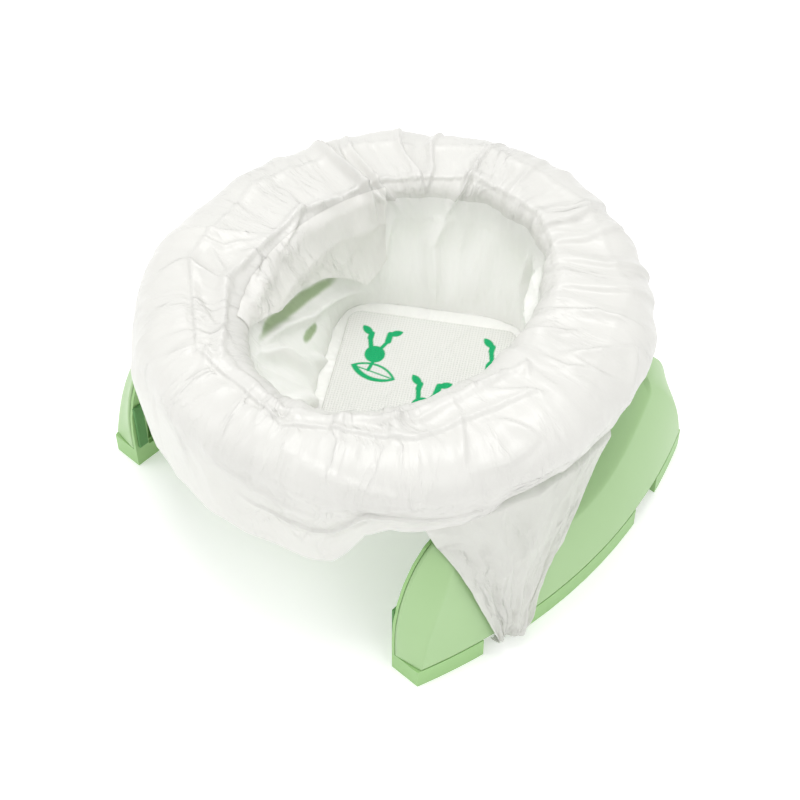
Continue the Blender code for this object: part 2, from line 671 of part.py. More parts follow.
def build():
    for left_over in list(bpy.data.objects):
        bpy.data.objects.remove(left_over)
    cover_green = finish("light green polypropylene", (0.69, 0.83, 0.61), 0.42)
    frame_green = finish("mid green polypropylene", (0.62, 0.79, 0.54), 0.45)
    film = finish("white film", (0.94, 0.95, 0.93), 0.4)
    fleece = finish("white non-woven", (0.95, 0.95, 0.94), 0.9)
    steel = finish("zinc plated steel", (0.74, 0.74, 0.73), 0.35, 1.0)
    rubber = finish("grey rubber", (0.5, 0.55, 0.5), 0.8)

    hinges, slides = {}, {}
    for word, side in (("right", 1), ("left", -1)):
        hinges[word] = empty(word + "_leg_hinge", (side * HINGE_X, 0, HINGE_Z))
        slides[word] = empty(word + "_latch_slide", (side * sum(TONGUE) / 2, 0, SLIDER_BOTTOM))

    dress(seat_ring(), cover_green)
    dress(seat_base(), frame_green)
    for k, place in enumerate(screw_places(), 1):
        start = at_height(place, RING_BOTTOM - GAP - HEAD_HEIGHT)
        dress(screw(f"seat_screw_{k}", start, Vector((0, 0, 1)), SCREW_LENGTH), steel)
    for word, middle in (("front", -HINGE_Y), ("rear", HINGE_Y)):
        pair(hinge_pin(f"right_{word}_hinge_pin", 1, middle), steel)

    pair(leg_cover(), cover_green, hinges)
    pair(leg_frame(), frame_green, hinges)
    for word, y in (("front", -LEG_SCREW_Y), ("rear", LEG_SCREW_Y)):
        start = Vector((LEG_PLANE - GAP - HEAD_HEIGHT, y, LEG_SCREW_Z))
        pair(screw(f"right_{word}_leg_screw", start, Vector((1, 0, 0)), LEG_SCREW_LENGTH), steel, hinges)
    pair(grip_pad("right_front_grip_pad", -1), rubber, hinges)
    pair(grip_pad("right_rear_grip_pad", 1), rubber, hinges)
    pair(latch_spring(), steel, hinges)
    pair(latch_button(), cover_green, slides)

    dress(liner_cuff(), film)
    dress(liner_bowl(), film)
    dress(absorbent_pad(), fleece)
    pair(liner_handle(), film)


build()
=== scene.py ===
"""Potty training chair with its liner bag on: the finished pieces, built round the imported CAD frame."""

import logging
import math
from collections.abc import Callable, Sequence
from dataclasses import dataclass
from enum import Enum
from typing import ClassVar

import bmesh
import bpy
import numpy as np
from mathutils import Matrix, Vector, noise


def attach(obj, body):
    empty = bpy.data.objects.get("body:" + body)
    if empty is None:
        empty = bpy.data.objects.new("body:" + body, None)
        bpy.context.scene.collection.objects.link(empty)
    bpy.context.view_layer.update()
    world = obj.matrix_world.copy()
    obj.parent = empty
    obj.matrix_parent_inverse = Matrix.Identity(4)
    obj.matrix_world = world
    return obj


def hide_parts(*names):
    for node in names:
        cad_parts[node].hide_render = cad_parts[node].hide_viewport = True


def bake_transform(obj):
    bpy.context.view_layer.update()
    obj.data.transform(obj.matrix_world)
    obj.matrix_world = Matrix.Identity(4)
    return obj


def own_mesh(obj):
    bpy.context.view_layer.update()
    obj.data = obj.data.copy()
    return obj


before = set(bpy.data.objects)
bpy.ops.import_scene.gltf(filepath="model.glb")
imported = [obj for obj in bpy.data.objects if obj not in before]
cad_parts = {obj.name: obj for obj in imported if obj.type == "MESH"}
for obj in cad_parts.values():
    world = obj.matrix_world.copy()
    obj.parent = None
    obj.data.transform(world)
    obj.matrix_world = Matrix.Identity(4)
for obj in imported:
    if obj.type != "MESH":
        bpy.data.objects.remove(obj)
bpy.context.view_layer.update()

MM = 0.001
log = logging.getLogger("potty_chair")

Place = Callable[[np.ndarray, np.ndarray], np.ndarray]


class Side(Enum):
    """The two sides of the chair, by the sign of X."""

    RIGHT = 1
    LEFT = -1

    @property
    def leg(self) -> str:
        """The CAD body of the leg on this side."""
        return f"{self.name.lower()}_leg"


class Body(Enum):
    """The CAD bodies that finished pieces ride on, apart from the legs."""

    SEAT = "seat"


# ---------------------------------------------------------------- shader helpers


def linear(code: str) -> tuple[float, float, float, float]:
    """Turns an sRGB hex colour into linear light.

    Args:
        code: six hex digits with a leading #.

    Returns:
        Linear red, green, blue and an alpha of 1.
    """
    parts = [int(code[k : k + 2], 16) / 255 for k in (1, 3, 5)]
    return (*[c / 12.92 if c <= 0.04045 else ((c + 0.055) / 1.055) ** 2.4 for c in parts], 1.0)


def add_node(tree: bpy.types.NodeTree, kind: str, links: dict | None = None, **settings: object) -> bpy.types.Node:
    """Adds a shader node with its settings, and links or sets its inputs.

    Args:
        tree: the material's or world's node tree.
        kind: the node's type, such as ShaderNodeTexNoise.
        links: input names or indices, each with an output socket to link or a value to set.
        settings: the node's own properties.

    Returns:
        The new node.
    """
    made = tree.nodes.new(kind)
    for key, value in settings.items():
        setattr(made, key, value)
    for key, value in (links or {}).items():
        if isinstance(value, bpy.types.NodeSocket):
            tree.links.new(value, made.inputs[key])
        else:
            made.inputs[key].default_value = value
    return made


def per_metre(size_mm: float) -> float:
    """The scale of a pattern, on coordinates in metres, whose features repeat every size_mm."""
    return 1.0 / (size_mm * MM)


def fresh_material(name: str) -> tuple[bpy.types.Material, bpy.types.Node]:
    """Makes an empty material with its output.

    Args:
        name: the real material and how it was made.

    Returns:
        The material and its output node.
    """
    made = bpy.data.materials.new(name)
    made.use_nodes = True
    made.node_tree.nodes.clear()
    return made, add_node(made.node_tree, "ShaderNodeOutputMaterial")


# ---------------------------------------------------------------- finishes


@dataclass(frozen=True)
class MouldedPlastic:
    """Injection-moulded polypropylene: soft satin gloss with a faint spark-eroded grain from the mould."""

    name: str
    colour: str
    shade: str  # where the wall is thick or the flow was slow, the pigment looks deeper
    roughness: float = 0.4
    grain: float = 0.9  # mm between the grain's bumps, twice the real grain, so that it shows
    grain_height: float = 0.012  # mm
    sink: float = 38.0  # mm between the shallow sink marks over ribs
    sink_height: float = 0.09  # mm

    def material(self) -> bpy.types.Material:
        """Builds the plastic."""
        made, output = fresh_material(self.name)
        tree = made.node_tree
        place = add_node(tree, "ShaderNodeTexCoord").outputs["Object"]
        flow = add_node(tree, "ShaderNodeTexNoise", {"Vector": place, "Scale": per_metre(self.sink), "Detail": 2.0})
        grain = add_node(tree, "ShaderNodeTexNoise", {"Vector": place, "Scale": per_metre(self.grain), "Detail": 2.0})
        tone = add_node(
            tree,
            "ShaderNodeMix",
            {"Factor": flow.outputs["Fac"], 6: linear(self.colour), 7: linear(self.shade)},
            data_type="RGBA",
        )
        gloss = add_node(
            tree,
            "ShaderNodeMapRange",
            {"Value": grain.outputs["Fac"], "To Min": self.roughness - 0.05, "To Max": self.roughness + 0.06},
        )
        sunk = add_node(
            tree, "ShaderNodeBump", {"Height": flow.outputs["Fac"], "Distance": self.sink_height * MM, "Strength": 1.0}
        )
        rough = add_node(
            tree,
            "ShaderNodeBump",
            {
                "Height": grain.outputs["Fac"],
                "Distance": self.grain_height * MM,
                "Strength": 1.0,
                "Normal": sunk.outputs["Normal"],
            },
        )
        skin = add_node(
            tree,
            "ShaderNodeBsdfPrincipled",
            {
                "Base Color": tone.outputs[2],
                "Roughness": gloss.outputs["Result"],
                "Normal": rough.outputs["Normal"],
                "IOR": 1.49,
            },
        )
        tree.links.new(skin.outputs["BSDF"], output.inputs["Surface"])
        return made


@dataclass(frozen=True)
class BlownFilm:
    """Blown polyethylene film: milky, with a soft gloss broken by fine crumples from its pack."""

    name: str
    colour: str
    shade: str  # the darker tone, mixed in at random; film looks so where layers lie over one another
    solidity: float  # how much of what is behind it the film hides
    gap_green_and_painted_shade: str | None = None  # colour painted on the film where it parts: partly the ring's green, partly painted shade of the gap, by the attribute of that name
    glow: float = 0.12  # the share of light that comes through from the other side
    roughness: float = 0.33
    crumple: float = 12.0  # mm between the larger crumples
    crumple_height: float = 0.9  # mm
    patch: float = 42.0  # mm between the patches where the creases crowd
    crease: float = 34.0  # mm between the sharp creases, which branch down to a sixteenth of that
    crease_height: float = 1.3  # mm
    crackle: float = 4.2  # mm between the fine creases
    crackle_height: float = 0.3  # mm

    def material(self) -> bpy.types.Material:
        """Builds the film."""
        made, output = fresh_material(self.name)
        tree = made.node_tree
        place = add_node(tree, "ShaderNodeAttribute", attribute_name="lay").outputs["Vector"]
        warp = add_node(tree, "ShaderNodeTexNoise", {"Vector": place, "Scale": per_metre(22.0), "Detail": 3.0})
        moved = add_node(
            tree,
            "ShaderNodeMix",
            {"Factor": 0.012, 4: place, 5: warp.outputs["Color"]},
            data_type="VECTOR",
        )
        facets = add_node(
            tree,
            "ShaderNodeTexVoronoi",
            {"Vector": moved.outputs[1], "Scale": per_metre(self.crumple)},
            feature="F1",
        )
        fine = add_node(
            tree,
            "ShaderNodeTexVoronoi",
            {"Vector": moved.outputs[1], "Scale": per_metre(self.crackle)},
            feature="F1",
        )
        cloud = add_node(tree, "ShaderNodeTexNoise", {"Vector": place, "Scale": per_metre(30.0), "Detail": 4.0})
        tone = add_node(
            tree,
            "ShaderNodeMix",
            {"Factor": cloud.outputs["Fac"], 6: linear(self.colour), 7: linear(self.shade)},
            data_type="RGBA",
        )
        colour = tone.outputs[2]
        # where the attribute says, the film takes the ring's green darkened by painted shade, as if seen through a gap
        # in it
        if self.gap_green_and_painted_shade:
            part = add_node(tree, "ShaderNodeAttribute", attribute_name="gap_green_and_painted_shade")
            tint = add_node(
                tree,
                "ShaderNodeMix",
                {"Factor": part.outputs["Fac"], 6: colour, 7: linear(self.gap_green_and_painted_shade)},
                data_type="RGBA",
            )
            colour = tint.outputs[2]
        creases = add_node(
            tree,
            "ShaderNodeTexNoise",
            {
                "Vector": moved.outputs[1],
                "Scale": per_metre(self.crease),
                "Detail": 5.0,
                "Roughness": 0.55,
                "Lacunarity": 2.2,
                "Offset": 0.9,
                "Gain": 1.6,
            },
            noise_type="RIDGED_MULTIFRACTAL",
        )
        patches = add_node(tree, "ShaderNodeTexNoise", {"Vector": place, "Scale": per_metre(self.patch), "Detail": 1.0})
        unrest = add_node(
            tree,
            "ShaderNodeMapRange",
            {"Value": patches.outputs["Fac"], "From Min": 0.36, "From Max": 0.62, "To Min": 0.2, "To Max": 1.3},
            interpolation_type="SMOOTHSTEP",
        )
        drawn = add_node(
            tree,
            "ShaderNodeMath",
            {0: creases.outputs["Fac"], 1: unrest.outputs["Result"]},
            operation="MULTIPLY",
        )
        sharp = add_node(
            tree,
            "ShaderNodeBump",
            {"Height": drawn.outputs[0], "Distance": self.crease_height * MM, "Strength": 1.0},
        )
        broad = add_node(
            tree,
            "ShaderNodeBump",
            {
                "Height": facets.outputs["Distance"],
                "Distance": self.crumple_height * MM,
                "Strength": 0.8,
                "Normal": sharp.outputs["Normal"],
            },
        )
        crisp = add_node(
            tree,
            "ShaderNodeBump",
            {
                "Height": fine.outputs["Distance"],
                "Distance": self.crackle_height * MM,
                "Strength": 0.7,
                "Normal": broad.outputs["Normal"],
            },
        )
        skin = add_node(
            tree,
            "ShaderNodeBsdfPrincipled",
            {
                "Base Color": colour,
                "Roughness": self.roughness,
                "IOR": 1.51,
                "Alpha": self.solidity,
                "Normal": crisp.outputs["Normal"],
            },
        )
        glow = add_node(tree, "ShaderNodeBsdfTranslucent", {"Color": colour, "Normal": crisp.outputs["Normal"]})
        both = add_node(tree, "ShaderNodeMixShader", {0: self.glow, 1: skin.outputs["BSDF"], 2: glow.outputs["BSDF"]})
        tree.links.new(both.outputs["Shader"], output.inputs["Surface"])
        return made


@dataclass(frozen=True)
class EmbossedNonwoven:
    """Thermobonded polypropylene non-woven: matt and white, with rows of bonded dimples darkened by painted shade, and
    a one-colour print.
    """

    name: str
    colour: str
    # the colour in the dimples' pits: painted shade
    shade: str
    ink: str
    dimple: float = 1.7  # mm between bonded dimples
    dimple_depth: float = 0.16  # mm
    fibre: float = 0.5  # mm, coarser than the real fibres, so that they show
    fibre_height: float = 0.06  # mm

    def material(self) -> bpy.types.Material:
        """Builds the non-woven."""
        made, output = fresh_material(self.name)
        tree = made.node_tree
        flat = add_node(tree, "ShaderNodeUVMap", uv_map="weave").outputs["UV"]
        dots = add_node(
            tree,
            "ShaderNodeTexVoronoi",
            {"Vector": flat, "Scale": per_metre(self.dimple), "Randomness": 0.0},
            feature="F1",
            voronoi_dimensions="2D",
        )
        fibres = add_node(tree, "ShaderNodeTexNoise", {"Vector": flat, "Scale": per_metre(self.fibre), "Detail": 4.0})
        pit = add_node(
            tree,
            "ShaderNodeMapRange",
            {"Value": dots.outputs["Distance"], "From Min": 0.12, "From Max": 0.42},
            interpolation_type="SMOOTHSTEP",
        )
        # darker in the dimples' pits: painted shade
        cloth = add_node(
            tree,
            "ShaderNodeMix",
            {"Factor": pit.outputs["Result"], 6: linear(self.shade), 7: linear(self.colour)},
            data_type="RGBA",
        )
        inked = add_node(tree, "ShaderNodeAttribute", attribute_name="print")
        worn = add_node(tree, "ShaderNodeMapRange", {"Value": fibres.outputs["Fac"], "From Min": 0.2, "To Min": 0.98})
        cover = add_node(
            tree,
            "ShaderNodeMath",
            {0: inked.outputs["Fac"], 1: worn.outputs["Result"]},
            operation="MULTIPLY",
        )
        colour = add_node(
            tree,
            "ShaderNodeMix",
            {"Factor": cover.outputs[0], 6: cloth.outputs[2], 7: linear(self.ink)},
            data_type="RGBA",
        )
        pitted = add_node(
            tree,
            "ShaderNodeBump",
            {"Height": pit.outputs["Result"], "Distance": self.dimple_depth * MM, "Strength": 1.0},
        )
        hairy = add_node(
            tree,
            "ShaderNodeBump",
            {
                "Height": fibres.outputs["Fac"],
                "Distance": self.fibre_height * MM,
                "Strength": 1.0,
                "Normal": pitted.outputs["Normal"],
            },
        )
        skin = add_node(
            tree,
            "ShaderNodeBsdfPrincipled",
            {
                "Base Color": colour.outputs[2],
                "Roughness": 0.88,
                "IOR": 1.45,
                "Normal": hairy.outputs["Normal"],
                "Specular IOR Level": 0.2,
                "Sheen Weight": 0.08,
                "Sheen Roughness": 0.5,
            },
        )
        tree.links.new(skin.outputs["BSDF"], output.inputs["Surface"])
        return made


@dataclass(frozen=True)
class PlatedSteel:
    """Zinc-plated or polished steel: grey metal, its gloss broken by fine drawing lines."""

    name: str
    colour: str
    roughness: float
    line: float = 0.35  # mm between drawing lines

    def material(self) -> bpy.types.Material:
        """Builds the steel."""
        made, output = fresh_material(self.name)
        tree = made.node_tree
        place = add_node(tree, "ShaderNodeTexCoord").outputs["Object"]
        lines = add_node(tree, "ShaderNodeTexNoise", {"Vector": place, "Scale": per_metre(self.line), "Detail": 3.0})
        cloud = add_node(tree, "ShaderNodeTexNoise", {"Vector": place, "Scale": per_metre(4.0), "Detail": 2.0})
        gloss = add_node(
            tree,
            "ShaderNodeMapRange",
            {"Value": cloud.outputs["Fac"], "To Min": self.roughness - 0.08, "To Max": self.roughness + 0.1},
        )
        bump = add_node(
            tree, "ShaderNodeBump", {"Height": lines.outputs["Fac"], "Distance": 0.01 * MM, "Strength": 1.0}
        )
        skin = add_node(
            tree,
            "ShaderNodeBsdfPrincipled",
            {
                "Base Color": linear(self.colour),
                "Metallic": 1.0,
                "Roughness": gloss.outputs["Result"],
                "Normal": bump.outputs["Normal"],
            },
        )
        tree.links.new(skin.outputs["BSDF"], output.inputs["Surface"])
        return made


@dataclass(frozen=True)
class MouldedRubber:
    """Compression-moulded thermoplastic rubber: matt, with a fine stipple."""

    name: str
    colour: str
    shade: str
    stipple: float = 0.7  # mm

    def material(self) -> bpy.types.Material:
        """Builds the rubber."""
        made, output = fresh_material(self.name)
        tree = made.node_tree
        place = add_node(tree, "ShaderNodeTexCoord").outputs["Object"]
        stipple = add_node(tree, "ShaderNodeTexVoronoi", {"Vector": place, "Scale": per_metre(self.stipple)})
        cloud = add_node(tree, "ShaderNodeTexNoise", {"Vector": place, "Scale": per_metre(9.0), "Detail": 3.0})
        tone = add_node(
            tree,
            "ShaderNodeMix",
            {"Factor": cloud.outputs["Fac"], 6: linear(self.colour), 7: linear(self.shade)},
            data_type="RGBA",
        )
        bump = add_node(
            tree, "ShaderNodeBump", {"Height": stipple.outputs["Distance"], "Distance": 0.08 * MM, "Strength": 1.0}
        )
        skin = add_node(
            tree,
            "ShaderNodeBsdfPrincipled",
            {"Base Color": tone.outputs[2], "Roughness": 0.82, "IOR": 1.52, "Normal": bump.outputs["Normal"]},
        )
        tree.links.new(skin.outputs["BSDF"], output.inputs["Surface"])
        return made


COVER_GREEN = MouldedPlastic("moulded polypropylene, light green", "#A6C792", "#A1C38C", roughness=0.36)
FRAME_GREEN = MouldedPlastic("moulded polypropylene, mid green", "#9AC381", "#95BF7B", roughness=0.42)
# the cuff's copy of the bag's one film, painted darker than the bowl's: painted shade that holds down the lamps'
# highlights
CUFF_FILM_PAINTED_SHADE = BlownFilm("blown polyethylene film, white", "#EBEAE6", "#E0DFDB", solidity=1.0)
# the bowl's copy of the bag's one film, painted lighter than the cuff's: painted light in the bowl's shade
BOWL_FILM_PAINTED_LIGHT_AND_GAP_SHADE = BlownFilm(
    "blown polyethylene film, hanging",
    "#FFFEFC",
    "#FBFAF8",
    solidity=1.0,
    # the ring's green, greyed by painted shade of the gaps between the folds
    gap_green_and_painted_shade="#A9BC96",
    glow=0.2,
    crumple=16.0,
    crumple_height=0.5,
    crease=34.0,
    crease_height=0.5,
)
# the flap's copy of the bag's one film, painted lighter than the cuff's: painted light in the bowl's shade
FLAP_FILM_PAINTED_LIGHT = BlownFilm("blown polyethylene film, slack", "#F8F7F3", "#EFEEEA", solidity=1.0)
# the handles' copy of the bag's one film, painted darker than the bowl's: painted shade
HANDLE_FILM_PAINTED_SHADE = BlownFilm(
    "blown polyethylene film, drawn tight",
    "#E9E8E4",
    "#D8D7D2",
    solidity=0.93,
    crumple=10.0,
    crumple_height=0.8,
    crease=24.0,
    crease_height=1.5,
)
# its second colour is painted shade in the dimples
PAD_CLOTH = EmbossedNonwoven("embossed polypropylene non-woven, printed", "#E4E4E0", "#D9DAD5", "#04A868")
ZINC = PlatedSteel("zinc-plated steel", "#C3C4C2", 0.34)
SPRING_STEEL = PlatedSteel("drawn spring steel", "#9C9D9E", 0.28, line=0.2)
GRIP_RUBBER = MouldedRubber("moulded thermoplastic rubber, green", "#5F9456", "#57894F")


# ---------------------------------------------------------------- mesh helpers


def coordinates(bm: bmesh.types.BMesh) -> np.ndarray:
    """The bmesh's vertices as an array."""
    return np.array([v.co for v in bm.verts], float)


def move_to(bm: bmesh.types.BMesh, points_mm: np.ndarray) -> None:
    """Moves the bmesh's vertices to points in millimetres.

    Args:
        bm: the mesh.
        points_mm: one row of x, y, z for each vertex.
    """
    for vertex, point in zip(bm.verts, points_mm * MM):
        vertex.co = point


def bent_grid(
    columns: int, rows: int, place: Place, closed: bool = False, lay: Place | None = None
) -> bmesh.types.BMesh:
    """A grid bent over a surface.

    Args:
        columns: faces across.
        rows: faces along.
        place: gives the points in millimetres from the shares across and along, each from 0 to 1.
        closed: whether the last column meets the first.
        lay: gives the points at which a pattern that follows the surface is read, in millimetres.

    Returns:
        The grid.
    """
    bm = bmesh.new()
    bmesh.ops.create_grid(bm, x_segments=columns, y_segments=rows, size=0.5)
    flat = coordinates(bm)
    across, along = flat[:, 0] + 0.5, flat[:, 1] + 0.5
    move_to(bm, place(across, along))
    if lay:
        layer = bm.verts.layers.float_vector.new("lay")
        for vertex, point in zip(bm.verts, lay(across, along) * MM):
            vertex[layer] = point
    if closed:
        edge = [v for v in bm.verts if v.is_boundary]
        bmesh.ops.remove_doubles(bm, verts=edge, dist=0.001 * MM)
    return bm


def finished(bm: bmesh.types.BMesh, name: str, material: bpy.types.Material) -> bpy.types.Object:
    """Turns a bmesh into a smooth-shaded piece at the origin.

    Args:
        bm: the mesh, which is freed.
        name: the piece's name.
        material: its finish.

    Returns:
        The piece.
    """
    mesh = bpy.data.meshes.new(name)
    bm.to_mesh(mesh)
    bm.free()
    mesh.shade_smooth()
    mesh.materials.append(material)
    piece = bpy.data.objects.new(name, mesh)
    bpy.context.scene.collection.objects.link(piece)
    return piece


def set_attribute(piece: bpy.types.Object, name: str, values: np.ndarray) -> None:
    """Writes one number for each of the piece's vertices as an attribute."""
    made = piece.data.attributes.new(name, "FLOAT", "POINT")
    made.data.foreach_set("value", values.astype(np.float32))


def vertices_mm(piece: bpy.types.Object) -> np.ndarray:
    """The piece's vertices, in millimetres."""
    flat = np.empty(len(piece.data.vertices) * 3)
    piece.data.vertices.foreach_get("co", flat)
    return flat.reshape(-1, 3) / MM


def mesh_area(piece: bpy.types.Object) -> float:
    """The piece's area in square metres."""
    return float(sum(face.area for face in piece.data.polygons))


def rough_field(points_mm: np.ndarray, size: Sequence[float] | float, start: float) -> np.ndarray:
    """A smooth random field over points, the same on every run.

    Args:
        points_mm: rows of x, y, z.
        size: how far apart its swells are, one number or one for each axis.
        start: an offset that picks another part of the field.

    Returns:
        Values from about -1 to 1.
    """
    scaled = points_mm / np.asarray(size, float) + np.array([start, 1.7 * start, -0.6 * start])
    return np.array([noise.noise(Vector(point)) for point in scaled.tolist()])


def ridge_field(points_mm: np.ndarray, size: Sequence[float]) -> np.ndarray:
    """A net of sharp ridges with hollows between them, as in film that has been crumpled and drawn out.

    Args:
        points_mm: rows of x, y, z.
        size: the hollows' width along each axis.

    Returns:
        Values from 0 in a hollow to about 0.8 on a ridge.
    """
    scaled = points_mm / np.asarray(size, float)
    return np.array([noise.voronoi(Vector(point))[0][0] for point in scaled.tolist()])


def ease(share: np.ndarray) -> np.ndarray:
    """Smoothly from 0 to 1, and held outside."""
    held = np.clip(share, 0, 1)
    return held * held * (3 - 2 * held)


# ---------------------------------------------------------------- legs


@dataclass
class Leg:
    """One folding leg: its domed cover is modelled afresh, and its frame and fittings keep their CAD shape."""

    side: Side
    plane: float = 104.5  # all in mm, as in the CAD source
    half_length: float = 117.5
    corner: tuple[float, float] = (80.5, 27.0)
    corner_rise: float = 62.0
    foot: tuple[float, float, float] = (41.0, 21.5, 116.0)  # depth, taper, reach of the taper
    ridge: tuple[float, float] = (19.5, 0.085)  # depth and lean
    rim: float = 13.5
    edge: float = 4.2
    shoulder: float = 16.0
    crown: float = 70.0
    base: float = 2.4
    columns: int = 260
    rows: int = 110

    def top(self, y: np.ndarray) -> np.ndarray:
        """The height of the leg's outline along its length."""
        far = np.abs(y)
        ring = 137 * np.sqrt(1 - (np.minimum(far, 140) / 141) ** 2)
        across = self.half_length - self.corner[0]
        corner = self.corner[1] + self.corner_rise * np.sqrt(np.clip(1 - ((far - self.corner[0]) / across) ** 2, 0, 1))
        return np.where(far <= self.corner[0], 104 + 105 - 7.5 - ring, corner)

    def depth(self, y: np.ndarray, z: np.ndarray) -> np.ndarray:
        """How far the cover stands out from the leg's inner face.

        Args:
            y: places along the leg.
            z: heights.

        Returns:
            Depths in millimetres.
        """
        rise = np.maximum(0, z - self.rim)
        full = 1 - (rise / self.crown) ** 1.6
        foot = self.foot[0] - self.foot[1] * (y / self.foot[2]) ** 2
        face = self.ridge[0] - self.ridge[1] * rise + (foot - self.ridge[0]) * full
        inset = 2 + 14 * np.minimum(1, rise / 62)
        up = np.minimum(1, np.maximum(0, z - self.corner[1]) / self.corner_rise)
        reach = self.corner[0] + (self.half_length - self.corner[0]) * np.sqrt(1 - up**2)
        end = np.clip((reach - np.abs(y)) / inset, 0, 1.2)
        end = np.where(end < 0.8, end, 1 - np.maximum(0, 1.2 - end) ** 2 / 0.8)
        over = np.sin(np.pi / 2 * np.clip((self.top(y) - z) / self.shoulder, 0, 1))
        over = np.where(np.abs(y) < self.corner[0], over, 1)
        lower = np.minimum(end, over)
        soft = lower - 0.05 * np.exp(-(((end - over) / 0.14) ** 2)) * np.clip((1 - lower) / 0.2, 0, 1)
        return self.edge + (face - self.edge) * np.clip(soft, 0, 1)

    def skin(self, across: np.ndarray, up: np.ndarray) -> np.ndarray:
        """The cover's outer face, whose outermost ring of points turns down to the frame.

        Args:
            across: shares along the leg.
            up: shares from the rim to the outline's top.

        Returns:
            Points in millimetres.
        """
        border = 1.5 / self.columns
        turned = (across < border / 2) | (across > 1 - border / 2) | (up > 1 - border)
        along = np.clip((across - border) / (1 - 2 * border), 0, 1)
        y = self.half_length * np.sin(np.pi * (along - 0.5))
        top = self.top(y)
        share = np.clip(up / (1 - 1.0 / self.rows), 0, 1)
        z = self.rim + 0.6 + share * (top - self.rim - 0.6)
        level = self.rim + share * (top - self.rim)
        stand = np.where(turned, self.base, np.maximum(self.depth(y, level), self.base + 0.5))
        lip = 0.35 * np.exp(-(((z - self.rim - 0.6) / 0.6) ** 2))
        return np.stack([self.side.value * (self.plane + stand - np.where(turned, 0, lip)), y, z], -1)

    def cover(self) -> bpy.types.Object:
        """Builds the domed cover as a walled shell."""
        bm = bent_grid(self.columns, self.rows, self.skin)
        bmesh.ops.recalc_face_normals(bm, faces=bm.faces)
        outward = sum(face.normal.x * face.calc_area() for face in bm.faces)
        if outward * self.side.value < 0:
            bmesh.ops.reverse_faces(bm, faces=bm.faces)
        piece = finished(bm, f"{self.side.name.lower()}_cover", COVER_GREEN.material())
        wall = piece.modifiers.new("wall", "SOLIDIFY")
        wall.thickness = 2.0 * MM
        wall.offset = -1.0
        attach(piece, self.side.leg)
        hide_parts(f"{self.side.name.lower()}_leg_cover")
        return piece


# ---------------------------------------------------------------- the film's lie


@dataclass(frozen=True)
class Fold:
    """A ridge or a groove in the film, along a course of (degrees round the seat, run along the film)."""

    course: tuple[tuple[float, float], ...]
    width: float  # mm on its gentle side
    height: float  # mm, below 0 for a groove
    steep: float = 1.0  # the other side's width, as a share

    def lift(self, points: np.ndarray, normals: np.ndarray, lie: "FilmLie") -> np.ndarray:
        """How much the fold lifts the film.

        Args:
            points: the film's points at rest, in mm.
            normals: the film's normals there.
            lie: the surface that the film lies on.

        Returns:
            A height in mm for each point.
        """
        corners = np.array(self.course, float)
        steps = np.linspace(0, len(corners) - 1, 10 * (len(corners) - 1) + 1)
        degrees = np.interp(steps, np.arange(len(corners)), corners[:, 0])
        runs = np.interp(steps, np.arange(len(corners)), corners[:, 1])
        line = lie.surface(np.radians(degrees), runs)
        low, high = line.min(0) - 3 * self.width, line.max(0) + 3 * self.width
        near = np.flatnonzero(((points > low) & (points < high)).all(1))
        best = np.full(len(near), 1e9)
        side = np.ones(len(near))
        share = np.zeros(len(near))
        for k, (a, b) in enumerate(zip(line, line[1:])):
            way = b - a
            along = np.clip(((points[near] - a) @ way) / (way @ way), 0, 1)
            away = points[near] - (a + along[:, None] * way)
            distance = np.linalg.norm(away, axis=1)
            closer = distance < best
            best = np.where(closer, distance, best)
            side = np.where(closer, np.sign((np.cross(way, normals[near]) * away).sum(1)), side)
            share = np.where(closer, (k + along) / (len(line) - 1), share)
        width = np.where(side > 0, self.width, self.width * self.steep)
        faded = np.clip(np.sin(np.pi * np.clip(share, 0.02, 0.98)), 0, 1) ** 0.6
        made = np.zeros(len(points))
        made[near] = self.height * np.exp(-((best / width) ** 2)) * faded
        return made


HEM = (  # degrees round the seat, height in mm
    (0, 111.0), (22, 111.0), (32, 110.0), (42, 103.0), (50, 90.0), (58, 78.0), (70, 74.0), (110, 74.0), (124, 79.0),
    (135, 96.0), (144, 107.0), (152, 111.0), (196, 111.0), (205, 108.0), (212, 100.0), (220, 87.0), (226, 76.0), (235, 69.0),
    (245, 67.0), (256, 71.0), (264, 74.0), (286, 74.0), (296, 72.5), (300, 74.0), (303, 83.0), (307, 99.0), (312, 102.0),
    (326, 103.5), (334, 105.5), (337, 109.0), (344, 111.0), (360, 111.0),
)  # fmt: skip


